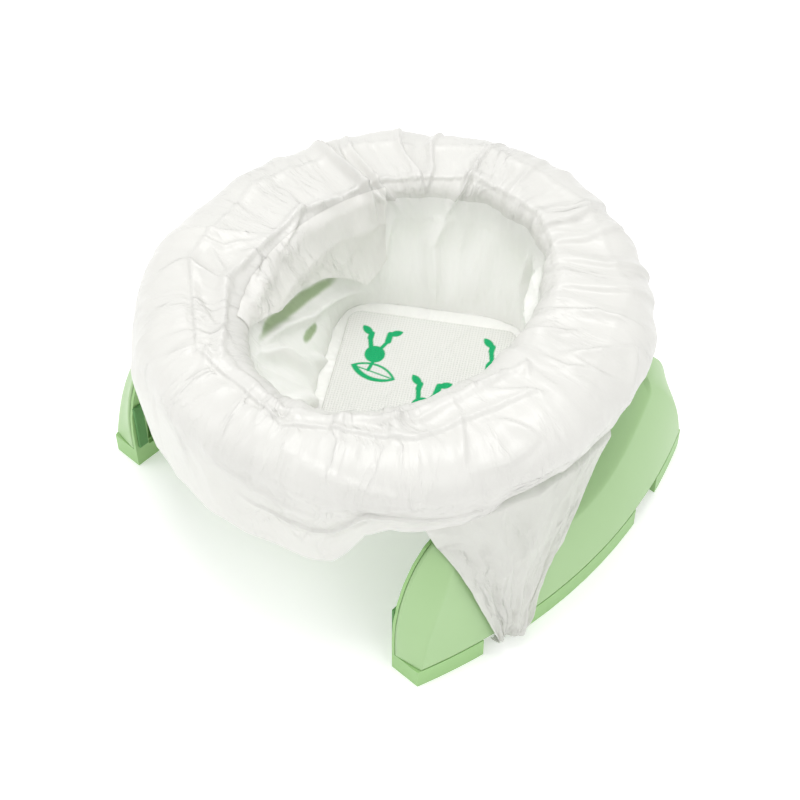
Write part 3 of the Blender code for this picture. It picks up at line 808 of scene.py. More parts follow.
@dataclass(frozen=True)
class FilmLie:
    """The surface the bag lies on.

    Its run goes 0 hem, 1 the ring's side, 2 the opening's wall, 3 the floor's edge, 4 the middle.
    """

    ring: tuple[float, float, float] = (137.0, 141.0, 137.0)
    opening: tuple[float, float] = (74.0, 96.0)
    outer: tuple[float, float] = (22.0, 17.0)
    inner: tuple[float, float] = (17.0, 15.0)
    sharp: float = 6.0  # the radius at which the film turns down where it is drawn tight, at the far side
    sharp_at: float = 118.0  # degrees round the seat
    lift: float = 2.2
    floor: float = 50.5
    centre: tuple[float, float] = (5.0, 13.0)
    turn: float = 32.0
    base_size: tuple[float, float] = (60.0, 62.0)

    def hem(self, angle: np.ndarray) -> np.ndarray:
        """The hem's height: at the ring's lower edge over the legs, and hanging low between them."""
        degrees, heights = np.array(HEM).T
        ripple = 0.6 * np.sin(13 * angle) + 0.5 * np.sin(29 * angle + 1)
        return np.interp(np.degrees(angle) % 360, degrees, heights) + ripple

    def outline(self, angle: np.ndarray) -> tuple[np.ndarray, np.ndarray]:
        """The floor's outline: a turned, rounded rectangle."""
        turned = angle - math.radians(self.turn)
        width, length = self.base_size
        radius = ((np.abs(np.cos(turned)) / width) ** 5 + (np.abs(np.sin(turned)) / length) ** 5) ** -0.2
        x = self.centre[0] + radius * np.cos(angle)
        y = self.centre[1] + radius * np.sin(angle)
        out = np.maximum(1, np.sqrt((x / 83) ** 2 + (y / 99) ** 2))
        return x / out, y / out

    def surface(self, angle: np.ndarray, run: np.ndarray) -> np.ndarray:
        """Points on the surface.

        Args:
            angle: radians round the seat.
            run: how far along the film, from 0 at the hem to 4 at the floor's middle.

        Returns:
            Rows of x, y, z in mm.
        """
        wide, long, top = self.ring
        cos, sin = np.cos(angle), np.sin(angle)
        skirt = np.clip(run, 0, 1)
        hem = self.hem(angle)
        flare = self.lift + (1.6 - 3.2 * ease((hem - 100) / 9)) * (1 - skirt) ** 2
        points = np.stack([(wide + flare) * cos, (long + flare) * sin, hem + (top - self.outer[1] - hem) * skirt], -1)

        far = ease(0.5 + 0.6 * np.cos(angle - math.radians(self.sharp_at)))
        round_x = self.inner[0] + self.lift + (self.sharp - self.inner[0]) * far
        round_z = self.inner[1] + self.lift + (self.sharp - self.inner[1]) * far
        over = np.clip(run - 1, 0, 1)
        turn = np.clip(over / 0.36, 0, 1) * math.pi / 2
        inset = (self.outer[0] + self.lift) * (1 - np.cos(turn)) - self.lift
        drop = (self.outer[1] + self.lift) * (1 - np.sin(turn)) - self.lift
        half_x, half_y = wide - inset, long - inset
        flat = np.clip((over - 0.36) / 0.32, 0, 1)
        half_x = half_x + (self.opening[0] - self.lift + round_x - half_x) * flat * (over > 0.36)
        half_y = half_y + (self.opening[1] - self.lift + round_x - half_y) * flat * (over > 0.36)
        turn = np.clip((1 - over) / 0.32, 0, 1) * math.pi / 2
        inset = round_x * (1 - np.cos(turn)) - self.lift
        late = over > 0.68
        half_x = np.where(late, self.opening[0] + inset, half_x)
        half_y = np.where(late, self.opening[1] + inset, half_y)
        drop = np.where(late, round_z * (1 - np.sin(turn)) - self.lift, drop)
        crown = np.stack([half_x * cos, half_y * sin, top - drop], -1)
        points = np.where((run > 1)[..., None], crown, points)

        down = np.clip(run - 2, 0, 1)
        foot_x, foot_y = self.outline(angle)
        swell = 10 * np.sin(math.pi * np.clip((down - 0.22) / 0.78, 0, 1))
        wall_x = (self.opening[0] - self.lift + swell) * cos
        wall_y = (self.opening[1] - self.lift + 0.3 * swell) * sin
        start = top + self.lift - round_z
        level = start - (start - self.floor) * down
        mix = ease(down)
        wall = np.stack([wall_x + (foot_x - wall_x) * mix, wall_y + (foot_y - wall_y) * mix, level], -1)
        points = np.where((run > 2)[..., None], wall, points)

        inward = np.clip(run - 3, 0, 1)
        middle_x, middle_y = self.centre
        floor_x = foot_x + (middle_x - foot_x) * inward
        floor_y = foot_y + (middle_y - foot_y) * inward
        floor = np.stack([floor_x, floor_y, np.full_like(foot_x, self.floor)], -1)
        return np.where((run > 3)[..., None], floor, points)

    def normals(self, angle: np.ndarray, run: np.ndarray) -> np.ndarray:
        """The surface's outward normals, over the ring and into the bowl."""
        step = 0.01
        round_way = self.surface(angle + step, run) - self.surface(angle - step, run)
        down_way = self.surface(angle, run + step) - self.surface(angle, run - step)
        cross = np.cross(round_way, down_way)
        return cross / np.maximum(np.linalg.norm(cross, axis=-1, keepdims=True), 1e-9)


RING_FOLDS = (
    Fold(((208, 0.75), (228, 0.55), (250, 0.6)), 26.0, 6.0, 0.9),
    Fold(((205, 1.18), (201, 1.46), (196, 1.62), (192, 1.76)), 5.0, 2.2, 0.25),
    Fold(((206, 1.32), (205, 1.55), (194, 1.75)), 2.6, 1.4, 0.3),
    Fold(((219, 1.2), (215, 1.33), (218, 1.7), (236, 1.78)), 4.5, 2.0, 0.25),
    Fold(((205, 1.66), (202, 1.79), (210, 1.87)), 3.0, 1.6, 0.4),
    Fold(((207, 1.46), (213, 1.64), (222, 1.8)), 3.2, 1.3, 0.3),
    Fold(((226, 1.5), (236, 1.7), (246, 1.8)), 4.0, 1.6, 0.3),
    Fold(((240, 1.2), (241, 1.4), (241, 1.74)), 3.5, 1.5, 0.3),
    Fold(((246, 1.2), (247, 1.39), (246, 1.75)), 3.0, 1.2, 0.3),
    Fold(((256, 1.3), (248, 1.55), (250, 1.8)), 4.0, 1.5, 0.3),
    Fold(((174, 1.5), (177, 1.71), (184, 1.83), (192, 1.9)), 3.6, 2.0, 0.3),
    Fold(((180, 1.68), (163, 1.81), (156, 1.75)), 3.4, 1.8, 0.3),
    Fold(((156, 1.1), (154, 1.33), (154, 1.62), (152, 1.84), (150, 2.2)), 3.4, 4.6, 0.22),
    Fold(((150, 1.2), (152, 1.39), (154, 1.72), (146, 2.01), (147, 2.2)), 2.4, 2.4, 0.35),
    Fold(((147, 1.15), (148, 1.37), (148, 1.77), (144, 1.95), (140, 2.13)), 3.0, 3.4, 0.25),
    Fold(((142, 1.2), (141, 1.6), (140, 1.95)), 3.0, -1.2, 1.0),
    Fold(((133, 1.1), (134, 1.5), (130, 1.95)), 3.2, 2.8, 0.25),
    Fold(((122, 1.1), (126, 1.6), (129, 1.95)), 3.0, 2.4, 0.25),
    Fold(((127, 1.2), (129, 1.6)), 4.0, -1.6, 1.0),
    Fold(((105, 1.05), (109, 1.5), (113, 1.9), (120, 2.2)), 2.4, 2.4, 0.3),
    Fold(((94, 1.1), (92, 1.5), (90, 1.95)), 4.5, 1.4, 0.35),
    Fold(((76, 1.0), (68, 1.5), (66, 1.9)), 6.0, 2.2, 0.3),
    Fold(((66, 1.05), (58, 1.5), (56, 1.85)), 5.0, 1.8, 0.3),
    Fold(((51, 0.9), (48, 1.4), (46, 1.85)), 6.0, 2.2, 0.3),
    Fold(((42, 1.0), (36, 1.5), (32, 1.85)), 5.0, 1.6, 0.3),
    Fold(((23, 1.75), (28, 1.44), (28, 1.15)), 4.0, 2.4, 0.25),
    Fold(((10, 1.88), (15, 1.7), (20, 1.5)), 3.4, 2.0, 0.3),
    Fold(((4, 1.72), (353, 1.7), (344, 1.7)), 3.0, 1.6, 0.35),
    Fold(((5, 1.63), (6, 1.43), (10, 1.29)), 3.0, 1.6, 0.3),
    Fold(((9, 1.52), (16, 1.34), (23, 1.18)), 4.0, 1.9, 0.25),
    Fold(((23, 1.2), (18, 1.12), (9, 1.02)), 4.0, 1.6, 0.3),
    Fold(((10, 1.47), (10, 1.28), (13, 1.13)), 2.8, 1.2, 0.35),
    Fold(((340, 1.41), (344, 1.3), (347, 1.2)), 4.5, 1.8, 0.25),
    Fold(((345, 1.69), (354, 1.44), (3, 1.24)), 3.4, 1.5, 0.3),
    Fold(((335, 1.62), (330, 1.35), (328, 1.2)), 4.5, 1.6, 0.3),
    Fold(((347, 1.22), (338, 1.16), (329, 1.18)), 5.0, 1.2, 0.4),
    Fold(((2, 1.78), (360, 1.65), (356, 1.56)), 2.6, 1.3, 0.4),
    Fold(((286, 1.26), (302, 1.16), (320, 1.04)), 5.0, 1.2, 0.35),
    Fold(((284, 1.1), (300, 0.99), (318, 0.92)), 3.5, 1.0, 0.35),
    Fold(((266, 1.1), (282, 0.86), (298, 0.72)), 4.0, 1.2, 0.35),
    Fold(((278, 0.62), (288, 0.55), (300, 0.52), (308, 0.7), (320, 0.45), (331, 0.4)), 3.2, 1.5, 0.12),
    Fold(((272, 1.3), (280, 1.5), (275, 1.85)), 4.0, 1.0, 0.35),
    Fold(((296, 1.4), (300, 1.6), (304, 1.85)), 4.0, 1.2, 0.35),
    Fold(((312, 1.35), (316, 1.6), (322, 1.85)), 4.0, 1.3, 0.35),
)

BOWL_FOLDS = (
    Fold(((72, 2.2), (76, 2.5), (74, 2.85)), 4.0, 5.0, 0.35),
    Fold(((62, 2.2), (48, 2.3), (30, 2.25)), 9.0, 7.0, 0.5),
    Fold(((120, 2.2), (124, 2.45), (123, 2.8)), 6.0, 3.0, 0.4),
    Fold(((143, 2.2), (146, 2.5), (150, 2.8)), 5.0, 3.0, 0.4),
    Fold(((98, 2.25), (100, 2.6), (104, 2.9)), 8.0, 1.6, 0.7),
    Fold(((226, 2.3), (198, 2.62), (157, 2.86)), 3.6, 4.0, 0.7),
    Fold(((232, 2.25), (224, 2.5), (222, 2.8)), 5.0, 5.0, 0.4),
    Fold(((214, 2.8), (208, 2.95), (204, 3.2)), 5.0, 2.4, 0.4),
    Fold(((250, 2.6), (240, 2.85), (236, 3.1)), 6.0, 3.0, 0.4),
)

# where the film parts: the ring's green with painted shade is painted on the film there
GAP_GREEN_AND_PAINTED_SHADE = (
    Fold(((228, 2.2), (205, 2.43), (189, 2.53), (168, 2.64)), 4.4, 1.0),
    Fold(((211, 2.68), (204, 2.7), (196, 2.72)), 3.0, 1.0),
    Fold(((236, 2.1), (239, 2.16), (240, 2.22)), 2.0, 1.0),
)


UNREST = (  # run, how strongly the film is crumpled there
    (0, 0.5), (0.5, 0.6), (1.0, 0.8), (1.4, 1.0), (1.7, 1.1), (2.0, 1.1), (2.5, 0.6), (2.9, 0.8), (3.1, 0.35), (4, 0.1),
)  # fmt: skip
DEEPEST = (  # run, how far in mm the film may sink there before it meets the ring or the floor
    (0, -1.2), (1.0, -0.9), (2.0, -1.2), (2.21, -1.0), (2.6, -40.0), (4, -0.2),
)  # fmt: skip


@dataclass
class LinerBag:
    """The bag: its mouth turned down over the ring, and its body hanging in the opening in two halves."""

    lie: FilmLie
    columns: int = 720
    cuff_rows: int = 126
    bowl_rows: int = 136
    cuff_end: float = 2.21  # where the film leaves the ring's inner wall
    mouth_cut: float = 0.1065  # m2: a plain tube, 0.88 m round and 0.121 m from hem to wall, gathered inwards
    body_cut: float = 0.0222  # m2: half of the bowl's wall and floor without creases
    boldness: float = 1.35  # how much higher the larger folds stand than their own heights say
    stretch: ClassVar[float] = 26.0  # how far the pattern moves on for each unit of run

    def crumple(self, points: np.ndarray, angle: np.ndarray, run: np.ndarray) -> np.ndarray:
        """The film's unruly part: creases that run across the ring, and small crumples.

        Args:
            points: the film's points at rest, in mm.
            angle: radians round the seat.
            run: how far along the film.

        Returns:
            A height in mm for each point.
        """
        around = np.stack([112 * np.cos(angle), 112 * np.sin(angle), 34 * run], -1)
        drawn = around + 7 * rough_field(points, 33, 3.1)[:, None]
        broad = ridge_field(drawn, (34, 34, 52)) ** 1.5 - 0.25
        middle = ridge_field(drawn + 400, (13, 13, 26)) ** 1.4 - 0.25
        small = ridge_field(drawn + 900, (6.5, 6.5, 13)) - 0.3
        calm = 0.6 + 0.5 * rough_field(points, 60, 7.7)
        runs, sizes = np.array(UNREST).T
        size = np.interp(run, runs, sizes)
        return size * (4.8 * broad + (3.6 * middle + 1.0 * small) * calm)

    @classmethod
    def laid(cls, angle: np.ndarray, run: np.ndarray) -> np.ndarray:
        """Where the film's pattern is read: round the seat and, drawn out, along the film."""
        return np.stack([112 * np.cos(angle), 112 * np.sin(angle), cls.stretch * run], -1)

    def film(self, angle: np.ndarray, run: np.ndarray, folds: Sequence[Fold]) -> np.ndarray:
        """The film with its folds.

        Args:
            angle: radians round the seat.
            run: how far along the film.
            folds: the larger folds.

        Returns:
            Points in mm.
        """
        points = self.lie.surface(angle, run)
        normals = self.lie.normals(angle, run)
        height = self.crumple(points, angle, run)
        for fold in folds:
            height = height + self.boldness * fold.lift(points, normals, self.lie)
        runs, depths = np.array(DEEPEST).T
        held = np.interp(run, runs, depths)
        return points + normals * np.maximum(height, held)[:, None]

    def cuff(self) -> bpy.types.Object:
        """The part over the ring, with its hanging skirt."""

        def place(across: np.ndarray, along: np.ndarray) -> np.ndarray:
            return self.film(2 * math.pi * across, self.cuff_end * along, RING_FOLDS + BOWL_FOLDS)

        def lay(across: np.ndarray, along: np.ndarray) -> np.ndarray:
            return self.laid(2 * math.pi * across, self.cuff_end * along)

        bm = bent_grid(self.columns, self.cuff_rows, place, closed=True, lay=lay)
        self.face_outwards(bm)
        layer = bm.verts.layers.float_vector["lay"]
        # faces inside the opening take the bowl's lighter copy of the film: painted light in the bowl's shade
        inside = self.laid(0.0, 2.03)[2] * MM
        for face in bm.faces:
            face.material_index = int(min(vertex[layer].z for vertex in face.verts) > inside)
        piece = finished(bm, "liner_mouth", CUFF_FILM_PAINTED_SHADE.material())
        piece.data.materials.append(BOWL_FILM_PAINTED_LIGHT_AND_GAP_SHADE.material())
        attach(piece, Body.SEAT.value)
        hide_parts("liner_cuff")
        return piece

    def body(self) -> bmesh.types.BMesh:
        """The whole hanging body, before it is cut in two."""

        def place(across: np.ndarray, along: np.ndarray) -> np.ndarray:
            run = self.cuff_end + (4 - self.cuff_end) * along
            return self.film(2 * math.pi * across, run, RING_FOLDS + BOWL_FOLDS)

        def lay(across: np.ndarray, along: np.ndarray) -> np.ndarray:
            return self.laid(2 * math.pi * across, self.cuff_end + (4 - self.cuff_end) * along)

        bm = bent_grid(self.columns, self.bowl_rows, place, closed=True, lay=lay)
        bmesh.ops.remove_doubles(bm, verts=bm.verts, dist=0.002 * MM)
        self.face_outwards(bm)
        return bm

    def half(self, body: bmesh.types.BMesh, side: Side) -> bpy.types.Object:
        """One half of the hanging body, cut at the middle of the chair.

        Args:
            body: the whole body, which is kept.
            side: which half.

        Returns:
            The piece.
        """
        bm = body.copy()
        everything = bm.verts[:] + bm.edges[:] + bm.faces[:]
        bmesh.ops.bisect_plane(
            bm, geom=everything, dist=1e-7, plane_co=(0, 0, 0), plane_no=(-side.value, 0, 0), clear_outer=True
        )
        name = side.name.lower()
        piece = finished(bm, f"liner_body_{name}", BOWL_FILM_PAINTED_LIGHT_AND_GAP_SHADE.material())
        self.tint(piece)
        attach(piece, Body.SEAT.value)
        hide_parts("liner_bowl")
        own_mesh(piece)
        return piece

    def tint(self, piece: bpy.types.Object) -> None:
        """Marks where the film parts, to paint there the ring's green with painted shade of the gap."""
        flat = np.empty(len(piece.data.vertices) * 3)
        piece.data.attributes["lay"].data.foreach_get("vector", flat)
        x, y, along = flat.reshape(-1, 3).T / MM
        points = self.lie.surface(np.arctan2(y, x), along / self.stretch)
        zeros = np.zeros_like(points)
        total = sum(mark.lift(points, zeros + [0, 0, 1], self.lie) for mark in GAP_GREEN_AND_PAINTED_SHADE)
        set_attribute(piece, "gap_green_and_painted_shade", ease((total - 0.15) / 0.5))

    @staticmethod
    def face_outwards(bm: bmesh.types.BMesh) -> None:
        """Turns the faces so that the ring's top looks up."""
        bm.normal_update()
        if sum(face.normal.z * face.calc_area() for face in bm.faces) < 0:
            bmesh.ops.reverse_faces(bm, faces=bm.faces)


@dataclass
class LinerFlap:
    """The slack of the bag's far left side, which falls in front of the wall in a second layer."""

    bag: LinerBag
    edge: tuple[tuple[float, float], ...] = (
        (146, 2.56), (152, 2.68), (158, 2.74), (171, 2.6), (178, 2.5), (202, 2.29), (213, 2.21), (224, 2.06), (233, 1.97), (246, 1.87)
    )  # fmt: skip
    start: float = 146.0  # degrees round the seat
    reach: float = 84.0  # degrees
    from_run: float = 1.84  # where on the ring it begins
    cut: float = 0.0058  # m2: the 0.0054 that it covers without creases, and slack
    columns: int = 200
    rows: int = 60

    def place(self, across: np.ndarray, along: np.ndarray) -> np.ndarray:
        """Points of the flap, in mm, from the opening's edge down to its loose edge."""
        degrees = self.start + self.reach * across
        table = np.array(self.edge)
        end = np.interp(degrees, table[:, 0], table[:, 1])
        run = self.from_run + (end - self.from_run) * along
        angle = np.radians(degrees)
        points = self.bag.film(angle, run, RING_FOLDS + BOWL_FOLDS)
        normals = self.bag.lie.normals(angle, run)
        out = 0.5 + 4.0 * ease(along) * ease(across / 0.15) * ease((1 - across) / 0.2)
        ripple = 1.2 * rough_field(np.stack([degrees, 30 * along, 0 * along], -1), (9, 40, 9), 2.2)
        large = 3.6 * ridge_field(points + 300, (22, 22, 34)) ** 1.4
        small = 1.1 * ridge_field(points + 700, (9, 9, 14))
        crumple = large + small - 1.2
        ends = ease(across / 0.12) * ease((1 - across) / 0.2)
        return points + normals * (out + (ripple + crumple * ends) * ease(along / 0.3))[:, None]

    def lay(self, across: np.ndarray, along: np.ndarray) -> np.ndarray:
        """Where the film's pattern is read."""
        return LinerBag.laid(np.radians(self.start + self.reach * across), self.from_run + 0.7 * along) + 300

    def build(self) -> bpy.types.Object:
        """Builds the flap."""
        bm = bent_grid(self.columns, self.rows, self.place, lay=self.lay)
        LinerBag.face_outwards(bm)
        piece = finished(bm, "liner_flap", FLAP_FILM_PAINTED_LIGHT.material())
        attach(piece, Body.SEAT.value)
        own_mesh(piece)
        return piece


HANDLE_RIDGES = (  # share across the handle, width as a share, height in mm
    (0.0, 0.05, 1.6), (0.13, 0.035, 1.5), (0.3, 0.05, 2.2), (0.52, 0.06, 2.4), (0.74, 0.05, 2.6), (0.9, 0.035, 1.6), (1.0, 0.03, 1.4),
)  # fmt: skip


@dataclass
class LinerHandle:
    """One of the bag's handles, drawn down over a leg and hooked in its front notch."""

    side: Side
    leg: Leg
    top: tuple[float, float] = (-97.0, 22.0)
    bottom: tuple[float, float] = (-71.0, -57.0)
    high: float = 109.8
    low: float = 7.5
    cut: float = 0.0083  # m2: 119 mm wide at the ring, 40 mm before it is gathered at the notch, 104 mm long
    columns: int = 150
    rows: int = 150

    def place(self, across: np.ndarray, down: np.ndarray) -> np.ndarray:
        """Points of the handle, in mm.

        Args:
            across: shares from its front edge to its rear edge.
            down: shares from the ring to the notch.

        Returns:
            Rows of x, y, z.
        """
        top_y = self.top[0] + (self.top[1] - self.top[0]) * across
        end_y = self.bottom[0] + (self.bottom[1] - self.bottom[0]) * across
        draw = down**0.9
        y = top_y + (end_y - top_y) * draw
        z = self.high + (self.low - self.high) * down
        ring = 137 * np.sqrt(1 - (top_y / 141) ** 2)
        foot = self.leg.plane + self.leg.foot[0] - self.leg.foot[1] * (end_y / self.leg.foot[2]) ** 2
        straight = ring + (foot - ring) * down
        leg = np.where(z < self.leg.top(y), self.leg.plane + self.leg.depth(y, np.minimum(z, 90)), 0)
        gap = straight - leg
        x = np.where(gap > 0, straight, leg) + 1.1 + 0.8 * np.exp(-((gap / 6) ** 2))
        pull = 0.35 + 0.65 * ease(down / 0.5)
        lift = np.zeros_like(x)
        for middle, width, height in HANDLE_RIDGES:
            lift = lift + height * np.exp(-(((across - middle - 0.03 * np.sin(3 * down + 9 * middle)) / width) ** 2))
        gather = np.exp(-(((down - 0.93) / 0.05) ** 2))
        slit = 3.0 * np.exp(-(((across - 0.5) / 0.1) ** 2)) * ease((down - 0.75) / 0.2)
        fine = rough_field(np.stack([across * 100, down * 60, 0 * down], -1), (7, 34, 7), 4.4 * self.side.value)
        small = rough_field(np.stack([across * 100, down * 100, 0 * down], -1), (8, 12, 8), 1.3)
        sheet = np.stack([across * 80, down * 100, 0 * down], -1)
        lift = lift + 6.0 * ridge_field(sheet + 50, (17, 34, 17)) ** 1.6 - 0.6
        lift = lift + 1.8 * ridge_field(sheet + 250, (7, 12, 7)) - 0.8
        lift = lift * pull + 0.8 * np.abs(fine) * (1 + gather) + 0.4 * np.abs(small) * (1 - 0.5 * down) - slit
        tuck = 4.5 * ease((0.05 - down) / 0.05) + 7.0 * np.clip((down - 0.955) / 0.045, 0, 1) ** 2
        return np.stack([self.side.value * (x + np.maximum(lift, -0.3) - tuck), y, z], -1)

    def lay(self, across: np.ndarray, down: np.ndarray) -> np.ndarray:
        """Where the film's pattern is read."""
        return np.stack([70 * across, 0 * down, 45 * down], -1)

    def build(self) -> bpy.types.Object:
        """Builds the handle."""
        bm = bent_grid(self.columns, self.rows, self.place, lay=self.lay)
        bm.normal_update()
        if sum(face.normal.x for face in bm.faces) * self.side.value < 0:
            bmesh.ops.reverse_faces(bm, faces=bm.faces)
        name = self.side.name.lower()
        piece = finished(bm, f"{name}_handle", HANDLE_FILM_PAINTED_SHADE.material())
        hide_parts(f"{name}_liner_handle")
        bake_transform(piece)
        return piece


# ---------------------------------------------------------------- the pad


@dataclass(frozen=True)
class SproutPrint:
    """A plain printed sprout: a seed with two bent shoots above it and one leaf below, in mm."""

    seed: float = 6.2
    shoot: float = 1.5
    outline: float = 0.8

    def capsule(self, p: np.ndarray, a: Sequence[float], b: Sequence[float], radius: float) -> np.ndarray:
        """Signed distance to a rounded stroke from a to b."""
        start, way = np.array(a, float), np.array(b, float) - np.array(a, float)
        along = np.clip(((p - start) @ way) / (way @ way), 0, 1)
        return np.linalg.norm(p - start - along[:, None] * way, axis=1) - radius

    def leaf(self, p: np.ndarray, a: Sequence[float], b: Sequence[float], fat: float) -> np.ndarray:
        """Signed distance to a pointed leaf from a to b, where two arcs meet."""
        start, end = np.array(a, float), np.array(b, float)
        middle, half = (start + end) / 2, np.linalg.norm(end - start) / 2
        along = (end - start) / (2 * half)
        local = np.stack([(p - middle) @ along, np.abs((p - middle) @ np.array([-along[1], along[0]]))], -1)
        radius = (half**2 + fat**2) / (2 * fat)
        return np.linalg.norm(local - [0, fat - radius], axis=1) - radius

    def distance(self, p: np.ndarray) -> np.ndarray:
        """Signed distance to the whole sprout.

        Args:
            p: rows of x, y about the seed's middle, y towards the shoots.

        Returns:
            Distances in mm, below 0 in the ink.
        """
        solid = [
            np.hypot(p[:, 0] / 1.0, p[:, 1] / 1.1) - self.seed,
            self.capsule(p, (-2.4, 4), (-3.6, 13), self.shoot),
            self.capsule(p, (-3.6, 13), (-3.0, 17), self.shoot * 1.2),
            self.leaf(p, (-2.6, 15.5), (-8.6, 23.5), 2.5),
            self.capsule(p, (2.8, 4), (7.2, 11), self.shoot * 0.8),
            self.capsule(p, (7.2, 11), (8.2, 17), self.shoot * 1.3),
            self.leaf(p, (7.4, 16.0), (15.8, 19.5), 2.4),
        ]
        leaf = self.leaf(p, (-12.5, -9.5), (12.5, -19.5), 6.0)
        bite = self.leaf(p, (-11.0, -7.0), (12.5, -19.0), 5.5)
        blade = np.maximum(leaf, -bite - 0.2)
        vein = np.minimum(np.abs(leaf) - self.outline, self.capsule(p, (-11, -10), (11, -19), 0.5))
        stem = self.capsule(p, (0, -5), (-3, -13), 1.1)
        return np.minimum.reduce([*solid, blade, np.maximum(vein, leaf - self.outline), stem])


@dataclass
class AbsorbentPad:
    """The pad on the bag's floor: a crowned, embossed pad with a printed pattern, in two halves."""

    size: tuple[float, float] = (104.0, 100.0)
    corner: float = 8.0
    thickness: float = 3.6
    margin: float = 3.0  # left clear of print
    floor: float = 50.9
    centre: tuple[float, float] = (5.0, 13.0)
    turn: float = 32.0
    columns: int = 190
    rows: int = 182
    prints: tuple[tuple[float, float, float], ...] = ((-28.0, 9.5, 129.0), (20.0, -2.0, 124.0), (32.0, 50.0, 126.0))

    def flat(self, points: np.ndarray) -> np.ndarray:
        """Points about the pad's middle, along its own sides."""
        turned = math.radians(-self.turn)
        moved = points[:, :2] - np.array(self.centre)
        return moved @ np.array([[math.cos(turned), math.sin(turned)], [-math.sin(turned), math.cos(turned)]])

    def place(self, across: np.ndarray, along: np.ndarray) -> np.ndarray:
        """The pad's top face, with rounded corners and rolled edges, in mm."""
        u, v = 2 * across - 1, 2 * along - 1
        half_u, half_v = self.size[0] / 2, self.size[1] / 2
        x, y = u * half_u, v * half_v
        over_x = np.maximum(0, np.abs(x) - (half_u - self.corner))
        over_y = np.maximum(0, np.abs(y) - (half_v - self.corner))
        reach = np.hypot(over_x, over_y)
        square = np.maximum(over_x, over_y)
        pull = np.where(reach > 1e-9, square / np.maximum(reach, 1e-9), 1)
        x = np.sign(x) * (np.abs(x) - over_x + over_x * pull)
        y = np.sign(y) * (np.abs(y) - over_y + over_y * pull)
        inside = self.corner - square
        roll = np.sqrt(np.clip(1 - (1 - np.clip(inside / 2.4, 0, 1)) ** 2, 0, 1))
        swell = 0.5 * rough_field(np.stack([x, y, 0 * x], -1), 34, 6.1) * np.clip(inside / 8, 0, 1)
        z = self.floor + (self.thickness * 0.5) + self.thickness * 0.5 * roll + swell
        turned = math.radians(self.turn)
        return np.stack(
            [
                self.centre[0] + x * math.cos(turned) - y * math.sin(turned),
                self.centre[1] + x * math.sin(turned) + y * math.cos(turned),
                z,
            ],
            -1,
        )

    def half(self, side: Side) -> bpy.types.Object:
        """One half of the pad, cut at the middle of the chair.

        Args:
            side: which half.

        Returns:
            The piece.
        """
        bm = bent_grid(self.columns, self.rows, self.place)
        LinerBag.face_outwards(bm)
        rim = [edge for edge in bm.edges if edge.is_boundary]
        grown = bmesh.ops.extrude_edge_only(bm, edges=rim)["geom"]
        lower = [v for v in grown if isinstance(v, bmesh.types.BMVert)]
        for vertex in lower:
            vertex.co.z = self.floor * MM
        bmesh.ops.contextual_create(bm, geom=[e for e in grown if isinstance(e, bmesh.types.BMEdge)])
        everything = bm.verts[:] + bm.edges[:] + bm.faces[:]
        bmesh.ops.bisect_plane(
            bm, geom=everything, dist=1e-7, plane_co=(0, 0, 0), plane_no=(-side.value, 0, 0), clear_outer=True
        )
        bmesh.ops.holes_fill(bm, edges=[e for e in bm.edges if e.is_boundary], sides=0)
        bmesh.ops.recalc_face_normals(bm, faces=bm.faces)
        layer = bm.loops.layers.uv.new("weave")
        turned = math.radians(-self.turn)
        for face in bm.faces:
            for loop in face.loops:
                x, y = loop.vert.co.x, loop.vert.co.y
                loop[layer].uv = (
                    x * math.cos(turned) - y * math.sin(turned),
                    x * math.sin(turned) + y * math.cos(turned),
                )
        name = side.name.lower()
        piece = finished(bm, f"pad_{name}", PAD_CLOTH.material())
        self.ink(piece)
        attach(piece, Body.SEAT.value)
        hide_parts("absorbent_pad")
        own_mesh(piece)
        return piece

    def ink(self, piece: bpy.types.Object) -> None:
        """Marks the printed sprouts on the pad's top."""
        points = vertices_mm(piece)
        best = np.full(len(points), 9.0)
        motif = SproutPrint()
        for x, y, degrees in self.prints:
            up = np.array([math.cos(math.radians(degrees)), math.sin(math.radians(degrees))])
            right = np.array([up[1], -up[0]])
            moved = points[:, :2] - [x, y]
            best = np.minimum(best, motif.distance(np.stack([moved @ right, moved @ up], -1)))
        flat = np.abs(self.flat(points))
        within = (flat[:, 0] < self.size[0] / 2 - self.margin) & (flat[:, 1] < self.size[1] / 2 - self.margin)
        inside = within & (points[:, 2] > self.floor + 1)
        set_attribute(piece, "print", np.where(inside, ease((0.3 - best) / 0.6), 0))


# ---------------------------------------------------------------- springs


@dataclass
class LatchSpring:
    """The coil spring under a latch button, wound on a helix at its rest length; the real one shortens as the button
    slides down.
    """

    side: Side
    axis_x: float = 104.5  # all in mm
    coil: float = 1.2
    wire: float = 0.25
    low: float = 63.1
    high: float = 70.9
    turns: int = 6
    steps: int = 16
    travel: float = 4.0

    def build(self) -> bpy.types.Object:
        """Builds the spring."""
        bm = bmesh.new()
        centre = Vector((self.side.value * self.axis_x, 0, self.low)) * MM
        start = Matrix.Translation(centre + Vector((self.coil * MM, 0, 0))) @ Matrix.Rotation(math.pi / 2, 4, "X")
        ring = bmesh.ops.create_circle(bm, cap_ends=False, segments=8, radius=self.wire * MM, matrix=start)["verts"]
        count = self.turns * self.steps
        climb = Vector((0, 0, (self.high - self.low) * MM / count))
        edges = list({edge for vertex in ring for edge in vertex.link_edges})
        bmesh.ops.spin(
            bm,
            geom=ring + edges,
            cent=centre,
            axis=(0, 0, 1),
            dvec=climb,
            angle=math.tau * self.turns,
            steps=count,
            use_merge=False,
        )
        bmesh.ops.holes_fill(bm, edges=[edge for edge in bm.edges if edge.is_boundary], sides=0)
        bmesh.ops.recalc_face_normals(bm, faces=bm.faces)
        name = self.side.name.lower()
        piece = finished(bm, f"{name}_spring", SPRING_STEEL.material())
        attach(piece, self.side.leg)
        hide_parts(f"{name}_latch_spring")
        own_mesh(piece)
        return piece


# ---------------------------------------------------------------- kept CAD nodes


